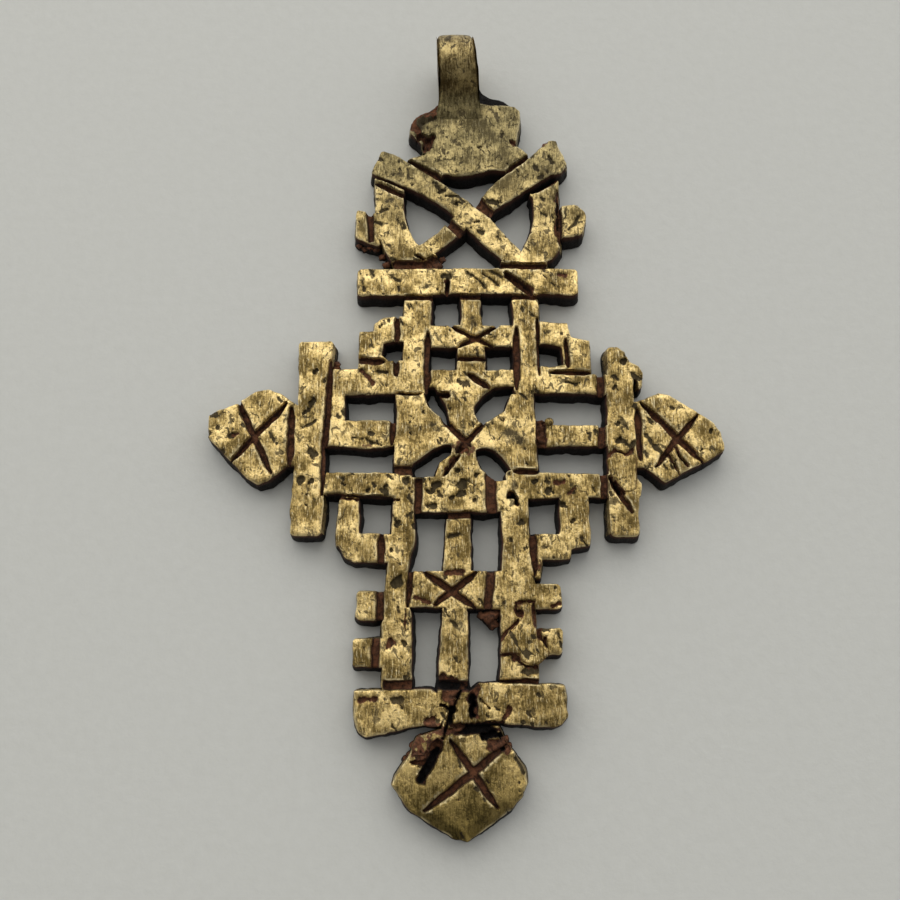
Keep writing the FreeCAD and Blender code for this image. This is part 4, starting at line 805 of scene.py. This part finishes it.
def loop_piece():
    """The strap of the loop: it sweeps up out of the neck, rolls over the bore and tapers to the top."""
    low, high = (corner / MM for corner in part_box(LOOP))
    bore = next(m for m in frame["record"]["mounts"] if m["name"] == "suspension_bore")
    cy, cz = bore["pos_m"][1] / MM, bore["pos_m"][2] / MM
    inner_r, outer_r = bore["dims"]["r_mm"], high.z - cz
    middle = (low.x + high.x) / 2
    wide_foot, wide_top = (high.x - low.x) + 0.05, (high.x - low.x) - 0.55
    bearing, reach = loop_profile(cy, cz, outer_r)
    turns, bands = 120, 31
    order = np.argsort(bearing)
    angles = np.linspace(bearing.min(), bearing.min() + 2 * math.pi, turns, endpoint=False)
    reach = np.interp(angles, bearing[order], reach[order])
    across = np.linspace(-1, 1, bands)
    section = [(a, 1.0) for a in across] + [(1.0, 1 - k / 8) for k in range(1, 8)]
    section += [(-a, 0.0) for a in across] + [(-1.0, k / 8) for k in range(1, 8)]
    side, out = np.array(section).T
    corner = np.maximum(abs(side) - 0.80, 0) / 0.20
    verts, grime = [], []
    for angle, far in zip(angles, reach):
        r = inner_r + (far - inner_r) * out
        r = r - np.where(out == 1.0, 0.34 * corner ** 2 + 0.14 * side ** 2, 0)
        r = r + np.where(out == 0.0, 0.25 * corner ** 2, 0)
        y, z = cy + math.cos(angle) * r, cz + math.sin(angle) * r
        rise = np.clip((y - cy + outer_r) / (2 * outer_r), 0, 1)
        spread = 0.5 * np.clip((cy - outer_r - 0.2 - y) / 1.4, 0, 1) ** 2
        width = wide_foot + (wide_top - wide_foot) * rise + spread
        narrow = np.where((out == 0.0) | (out == 1.0), 1 - 0.035 * corner, 1.0)
        x = middle + 0.5 * width * side * narrow - 0.46 * rise + 0.12 * (1 - rise)
        verts.append(np.stack([x, y, np.maximum(z, 0.0)], axis=1))
        grime.append(np.where(out > 0.0, 0.05, 0.75))
    verts, grime = np.concatenate(verts), np.concatenate(grime)
    away = verts[:, 1:] - np.array([cy, cz])
    away /= np.maximum(np.linalg.norm(away, axis=1), 1e-6)[:, None]
    wave = 0.05 * rough(verts[:, 0] / 1.4, (verts[:, 1] + verts[:, 2]) / 1.4, 41)
    verts[:, 1:] += away * wave[:, None]
    verts[:, 0] += 0.05 * rough(verts[:, 1] / 1.2, verts[:, 2] / 1.2, 43)
    verts[:, 2] = np.maximum(verts[:, 2], 0.0)
    size = len(section)
    faces = []
    for i in range(turns):
        ahead = (i + 1) % turns
        for k in range(size):
            after = (k + 1) % size
            faces.append([i * size + k, i * size + after, ahead * size + after, ahead * size + k])
    return make_piece(LOOP, verts, faces, grime, np.zeros(len(verts)))


# ---- burnt clay still clinging to the casting
CRUMBS = {
    "rust_lump": (True, [(2.2, -21.8, 1.2, 0.75), (2.6, -22.4, 1.1, 0.60), (1.5, -21.7, 1.4, 0.40),
                         (2.8, -21.6, 1.5, 0.50)]),
    "left_nub_crumbs": (True, [(-11.2, 17.6, 1.2, 0.35), (-10.6, 17.3, 1.1, 0.38), (-10.0, 17.4, 1.3, 0.42),
                               (-9.3, 17.2, 1.3, 0.45), (-8.7, 16.3, 1.2, 0.42), (-8.2, 15.4, 1.1, 0.48)]),
    "left_hoop_crumbs": (True, [(-2.7, 15.2, 1.3, 0.45), (-2.3, 15.9, 1.4, 0.38), (-3.4, 15.1, 1.2, 0.35)]),
    "foot_crumbs": (True, [(-4.7, -33.6, 1.5, 0.55), (-5.1, -34.4, 1.3, 0.45), (-5.6, -34.8, 1.0, 0.38),
                           (-4.2, -32.9, 1.6, 0.45), (3.6, -33.0, 1.5, 0.40), (3.9, -33.6, 1.4, 0.38)]),
    "arm_crumbs": (True, [(-13.2, 3.6, 1.3, 0.42), (-13.1, 4.0, 1.5, 0.34)]),
    "arm_bead": (False, [(8.45, -2.5, 2.35, 0.46)]),
}


def crumb_piece(name):
    """Lumps of clay, or a bead of brass, each a pitted ball sunk into its neighbours."""
    clayey, balls = CRUMBS[name]
    verts, faces = [], []
    for index, (x, y, z, size) in enumerate(balls):
        rows, turns = 14, 20
        base = sum(len(v) for v in verts)
        ball = [(0, 0, 1)]
        for row in range(1, rows):
            tilt = math.pi * row / rows
            ball += [(math.sin(tilt) * math.cos(turn), math.sin(tilt) * math.sin(turn), math.cos(tilt))
                     for turn in (2 * math.pi * k / turns for k in range(turns))]
        ball.append((0, 0, -1))
        ball = np.array(ball)
        uneven = 0.34 if clayey else 0.08
        across, along = ball[:, 0] * 1.7 + 5 * index, ball[:, 1] * 1.7 + ball[:, 2] * 1.3
        swell = 1 + uneven * rough(across, along, 101 + index)
        verts.append(np.array([x, y, z]) + ball * swell[:, None] * np.array([1.0, 1.0, 0.9]) * size)
        last = base + 1 + (rows - 1) * turns
        for k in range(turns):
            ahead = (k + 1) % turns
            faces.append([base, base + 1 + k, base + 1 + ahead])
            faces.append([last, last - turns + ahead, last - turns + k])
            for row in range(rows - 2):
                here = base + 1 + row * turns
                faces.append([here + k, here + turns + k, here + turns + ahead, here + ahead])
    verts = np.concatenate(verts)
    verts[:, 2] = np.maximum(verts[:, 2], 0.02)
    return make_piece(name, verts, faces, np.full(len(verts), 1.0 if clayey else 0.0), np.zeros(len(verts)))


# ---- materials
class Nodes:
    """Short ways to add shader nodes; an input is a plain value or another node's output."""

    def __init__(self, owner):
        owner.use_nodes = True
        self.tree = owner.node_tree

    def feed(self, socket, value):
        if isinstance(value, bpy.types.NodeSocket):
            self.tree.links.new(value, socket)
        else:
            socket.default_value = value

    def put(self, kind, inputs=None, **settings):
        node = self.tree.nodes.new("ShaderNode" + kind)
        for label, value in settings.items():
            setattr(node, label, value)
        for label, value in (inputs or {}).items():
            self.feed(node.inputs[label], value)
        return node

    def sums(self, operation, *values, clamp=False):
        return self.put("Math", dict(enumerate(values)), operation=operation, use_clamp=clamp).outputs[0]

    def add(self, value, weight, total, clamp=False):
        """The total with a weighted value added."""
        return self.sums("MULTIPLY_ADD", value, weight, total, clamp=clamp)

    def times(self, product, *values):
        for value in values:
            product = self.sums("MULTIPLY", product, value)
        return product

    def sway(self, texture, weight, total):
        """The total moved up and down by a texture that is 0.5 on average."""
        return self.add(self.sums("SUBTRACT", texture, 0.5), weight, total)

    def share(self, value, low, high, to_low=0.0, to_high=1.0):
        """Smooth step of a value between two limits."""
        return self.put("MapRange", {"Value": value, "From Min": low, "From Max": high, "To Min": to_low,
                                     "To Max": to_high}, interpolation_type="SMOOTHSTEP").outputs[0]

    def blend(self, factor, one, two):
        """From colour one to colour two."""
        node = self.put("Mix", data_type="RGBA")
        for socket, value in zip([s for s in node.inputs if s.enabled], (factor, one, two)):
            self.feed(socket, (*value, 1) if isinstance(value, tuple) else value)
        return [s for s in node.outputs if s.enabled][0]

    def millimetres(self):
        metres = self.put("TexCoord").outputs["Object"]
        return self.put("VectorMath", {0: metres, 1: (1000, 1000, 1000)}, operation="MULTIPLY").outputs[0]

    def grain(self, place, scale, detail=4.0, roughness=0.6, twist=0.0, stretch=(1, 1, 1), turn=0.0,
              shift=0.0):
        """Noise of so many bumps to the millimetre, if need be stretched and turned about Z."""
        mapped = self.put("Mapping", {"Vector": place, "Scale": stretch, "Location": (shift, shift, shift),
                                      "Rotation": (0, 0, math.radians(turn))}).outputs[0]
        return self.put("TexNoise", {"Vector": mapped, "Scale": scale, "Detail": detail,
                                     "Roughness": roughness, "Distortion": twist}).outputs[0]


def cast_brass():
    """Filed brass, bright on top, tarnished in patches, with red-brown burnt clay in every hollow; its colour
    also holds painted highlights and painted shade.
    """
    material = bpy.data.materials.new("cast_brass")
    n = Nodes(material)
    shader = n.tree.nodes["Principled BSDF"]
    place = n.millimetres()
    apart = n.put("SeparateXYZ", {0: place})
    along = apart.outputs["Y"]
    # where clay lies; on the walls this also holds painted shade
    grime = n.put("Attribute", attribute_name="grime").outputs["Fac"]
    pit = n.put("Attribute", attribute_name="pit").outputs["Fac"]
    lip = n.put("Attribute", attribute_name="lip").outputs["Fac"]

    patches = n.grain(place, 0.42, 3.0, 0.6, shift=4.0)
    mottle = n.grain(place, 2.3, 6.0, 0.68, 0.5)
    fine = n.grain(place, 5.5, 3.0, 0.65)
    filing = n.grain(place, 1.0, 4.0, 0.75, 0.3, stretch=(4.6, 0.75, 1), turn=4)
    brushing = n.grain(place, 1.0, 3.0, 0.7, 0.15, stretch=(9.5, 1.1, 1), turn=2, shift=6.0)
    cross_filing = n.grain(place, 1.0, 3.0, 0.6, 0.2, stretch=(4.5, 0.6, 1), turn=-58, shift=9.0)
    blots = n.grain(place, 1.35, 6.0, 0.66, 1.0, stretch=(1.0, 0.75, 1), turn=35, shift=2.0)

    # where the burnt clay lies, and where the tarnish is dark
    clay = n.share(n.sway(mottle, 0.9, grime), 0.22, 0.50)
    stain = n.share(n.sway(mottle, 1.6, n.sway(filing, 1.1, pit)), 0.14, 0.62)
    flecks = n.share(n.sway(patches, 0.30, blots), 0.56, 0.635)
    flecks = n.times(flecks, n.share(along, -40.0, -28.0, 0.25, 0.85))
    specks = n.sums("MAXIMUM", flecks, stain)

    # brass: warm and bright in the middle, olive towards the foot, greyer at the head; the foot, the head and
    # the loop are also darkened as painted shade, where they mirror a darker part of the surround
    foot = n.share(along, -43.0, -29.0, 1.0, 0.0)
    head = n.share(along, 9.0, 31.0)
    loop = n.share(apart.outputs["Z"], 3.1, 4.6)
    bright, dull = (0.80, 0.565, 0.205), (0.130, 0.086, 0.026)
    for where, lit, dim in ((head, (0.34, 0.270, 0.118), (0.085, 0.066, 0.030)),
                            (foot, (0.21, 0.150, 0.042), (0.048, 0.035, 0.010)),
                            (loop, (0.42, 0.315, 0.130), (0.075, 0.050, 0.018))):
        bright, dull = n.blend(where, bright, lit), n.blend(where, dull, dim)
    tone = 0.52
    for texture, weight in ((patches, 1.10), (mottle, 0.60), (filing, 0.70), (fine, 0.40), (brushing, 0.55)):
        tone = n.sway(texture, weight, tone)
    brass = n.blend(n.share(tone, 0.28, 0.82), dull, bright)

    # painted highlights: bright glints along the brushing and broad sheens, both faint at the head and the
    # foot; then the lips, brightened by wear and by a painted highlight, and dark flecks
    painted_glints = n.times(n.share(brushing, 0.57, 0.68), 0.55, n.share(along, 8.0, 24.0, 1.0, 0.25),
                     n.share(along, -40.0, -28.0))
    # painted highlight: glints along the brushing
    brass = n.blend(painted_glints, brass, (0.93, 0.80, 0.50))
    painted_sheen = n.times(n.share(n.sway(fine, 0.35, patches), 0.50, 0.68, 0.0, 0.75),
                    n.share(along, -38.0, -30.0), n.share(along, 14.0, 26.0, 1.0, 0.15))
    # painted highlight: broad sheens
    brass = n.blend(painted_sheen, brass, (1.0, 0.75, 0.33))
    # painted highlight along the lips, over their real wear
    brass = n.blend(n.times(lip, 0.75), brass, (0.80, 0.66, 0.36))
    brass = n.blend(n.times(specks, 0.94), brass, (0.040, 0.028, 0.012))

    # burnt clay: red-brown in the grooves; on the walls and in the deepest holes it runs to near black, which
    # is painted shade over the dark clay
    painted_shade_black = (0.006, 0.004, 0.003)
    red = n.blend(n.share(mottle, 0.35, 0.65), (0.042, 0.018, 0.008), (0.175, 0.066, 0.028))
    facing = n.put("SeparateXYZ", {0: n.put("NewGeometry").outputs["Normal"]}).outputs["Z"]
    # painted shade: clay on wall faces is darker than on floors, and near black lower down
    wall = n.blend(n.share(apart.outputs["Z"], 1.3, 2.4), painted_shade_black, (0.078, 0.028, 0.013))
    red = n.blend(n.share(facing, 0.25, 0.7), wall, red)
    # painted shade: near black below this height, whatever the facing
    red = n.blend(n.share(apart.outputs["Z"], 1.15, 1.35), painted_shade_black, red)
    colour = n.blend(clay, brass, red)

    rough = n.share(tone, 0.35, 0.65, 0.48, 0.32)
    rough = n.add(specks, 0.25, rough)
    rough = n.add(clay, 0.45, rough, clamp=True)
    metal = n.sums("SUBTRACT", 1.0, clay, clamp=True)
    metal = n.add(specks, -0.4, metal, clamp=True)

    lift = 0.0
    for texture, weight in ((filing, 0.45), (brushing, 0.62), (cross_filing, 0.20), (mottle, 0.55),
                            (fine, 0.25), (specks, -0.40)):
        lift = n.add(texture, weight, lift)
    bump = n.put("Bump", {"Height": lift, "Distance": 0.00015, "Strength": 1.0}).outputs[0]

    shader.inputs["Specular IOR Level"].default_value = 0.3
    for label, source in (("Base Color", colour), ("Metallic", metal), ("Roughness", rough),
                          ("Normal", bump)):
        n.tree.links.new(source, shader.inputs[label])
    return material


def floor_surface():
    """Pale warm grey board with a faint mottle."""
    material = bpy.data.materials.new("floor")
    n = Nodes(material)
    shader = n.tree.nodes["Principled BSDF"]
    place = n.millimetres()
    mottle = n.grain(place, 0.9, 6.0, 0.7)
    colour = n.blend(mottle, (0.505, 0.495, 0.445), (0.575, 0.567, 0.515))
    bump = n.put("Bump", {"Height": mottle, "Distance": 0.00008, "Strength": 0.5}).outputs[0]
    shader.inputs["Roughness"].default_value = 0.75
    n.tree.links.new(colour, shader.inputs["Base Color"])
    n.tree.links.new(bump, shader.inputs["Normal"])
    return material


# ---- camera, light and floor
def set_camera():
    """Above the cross and below its middle, tilted to look up the shaft."""
    camera = bpy.data.objects.new("camera", bpy.data.cameras.new("camera"))
    camera.data.lens, camera.data.sensor_width = LENS, SENSOR
    camera.data.clip_start = 0.001
    camera.location = Vector(CAMERA_AT) * MM
    camera.rotation_euler = (math.radians(CAMERA_TILT), 0, 0)
    bpy.context.scene.collection.objects.link(camera)
    bpy.context.scene.camera = camera


def set_light():
    """A soft surround, darker below the foot, and one very broad lamp overhead, past the top of the cross."""
    world = bpy.data.worlds.new("world")
    bpy.context.scene.world = world
    n = Nodes(world)
    heading = n.put("SeparateXYZ", {0: n.put("TexCoord").outputs["Generated"]})
    glow = n.share(heading.outputs["Y"], -0.60, 0.75, 0.30, 1.75)
    glow = n.times(glow, n.share(heading.outputs["Z"], 0.50, 0.97, 1.0, 0.50))
    surround = n.tree.nodes["Background"]
    surround.inputs["Color"].default_value = (0.95, 0.97, 1.0, 1)
    n.tree.links.new(glow, surround.inputs["Strength"])
    lamp = bpy.data.lights.new("key", "AREA")
    lamp.shape = "RECTANGLE"
    lamp.size, lamp.size_y = LAMP_SIZE
    lamp.energy = LAMP_WATTS
    lamp.color = (1.0, 0.985, 0.95)
    key = bpy.data.objects.new("key", lamp)
    key.location = LAMP_AT
    key.rotation_euler = (math.radians(LAMP_TILT), 0, 0)
    bpy.context.scene.collection.objects.link(key)


def set_floor():
    mesh = bpy.data.meshes.new("floor")
    mesh.from_pydata([(-1, -1, 0), (1, -1, 0), (1, 1, 0), (-1, 1, 0)], [], [(0, 1, 2, 3)])
    floor = bpy.data.objects.new("floor", mesh)
    floor.data.materials.append(floor_surface())
    bpy.context.scene.collection.objects.link(floor)


# ---- the scene
set_camera()
set_light()
set_floor()
bpy.context.scene.view_settings.view_transform = "Standard"

plan = Plan()
for name in lattice:
    plan.draw(name)
for mark in FOOT_MARKS + RAILS_MARKS + MIDDLE_MARKS + CROSSBAR_MARKS + HEAD_MARKS + SIDES_MARKS:
    if isinstance(mark[0], str):
        getattr(plan, mark[0])(*mark[1:])
    else:
        plan.carve(*mark)
plan.measure()

brass = cast_brass()
pieces = [cast_strip(plan, name) for name in lattice]
pieces.append(cast_strip(plan, GUSSET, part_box(GUSSET)[1].z / MM))
pieces.append(loop_piece())
pieces += [flow(name) for name in PATCHES]
crumbs = [crumb_piece(name) for name in CRUMBS]
for piece in pieces:
    node = piece.name[:-len("_cast")]
    piece.data.materials.append(brass)
    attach(piece, "root")
    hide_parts(node)

for piece in crumbs:
    piece.data.materials.append(brass)
    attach(piece, "root")

print("TRIANGLES", sum(len(p.vertices) - 2 for piece in pieces for p in piece.data.polygons))
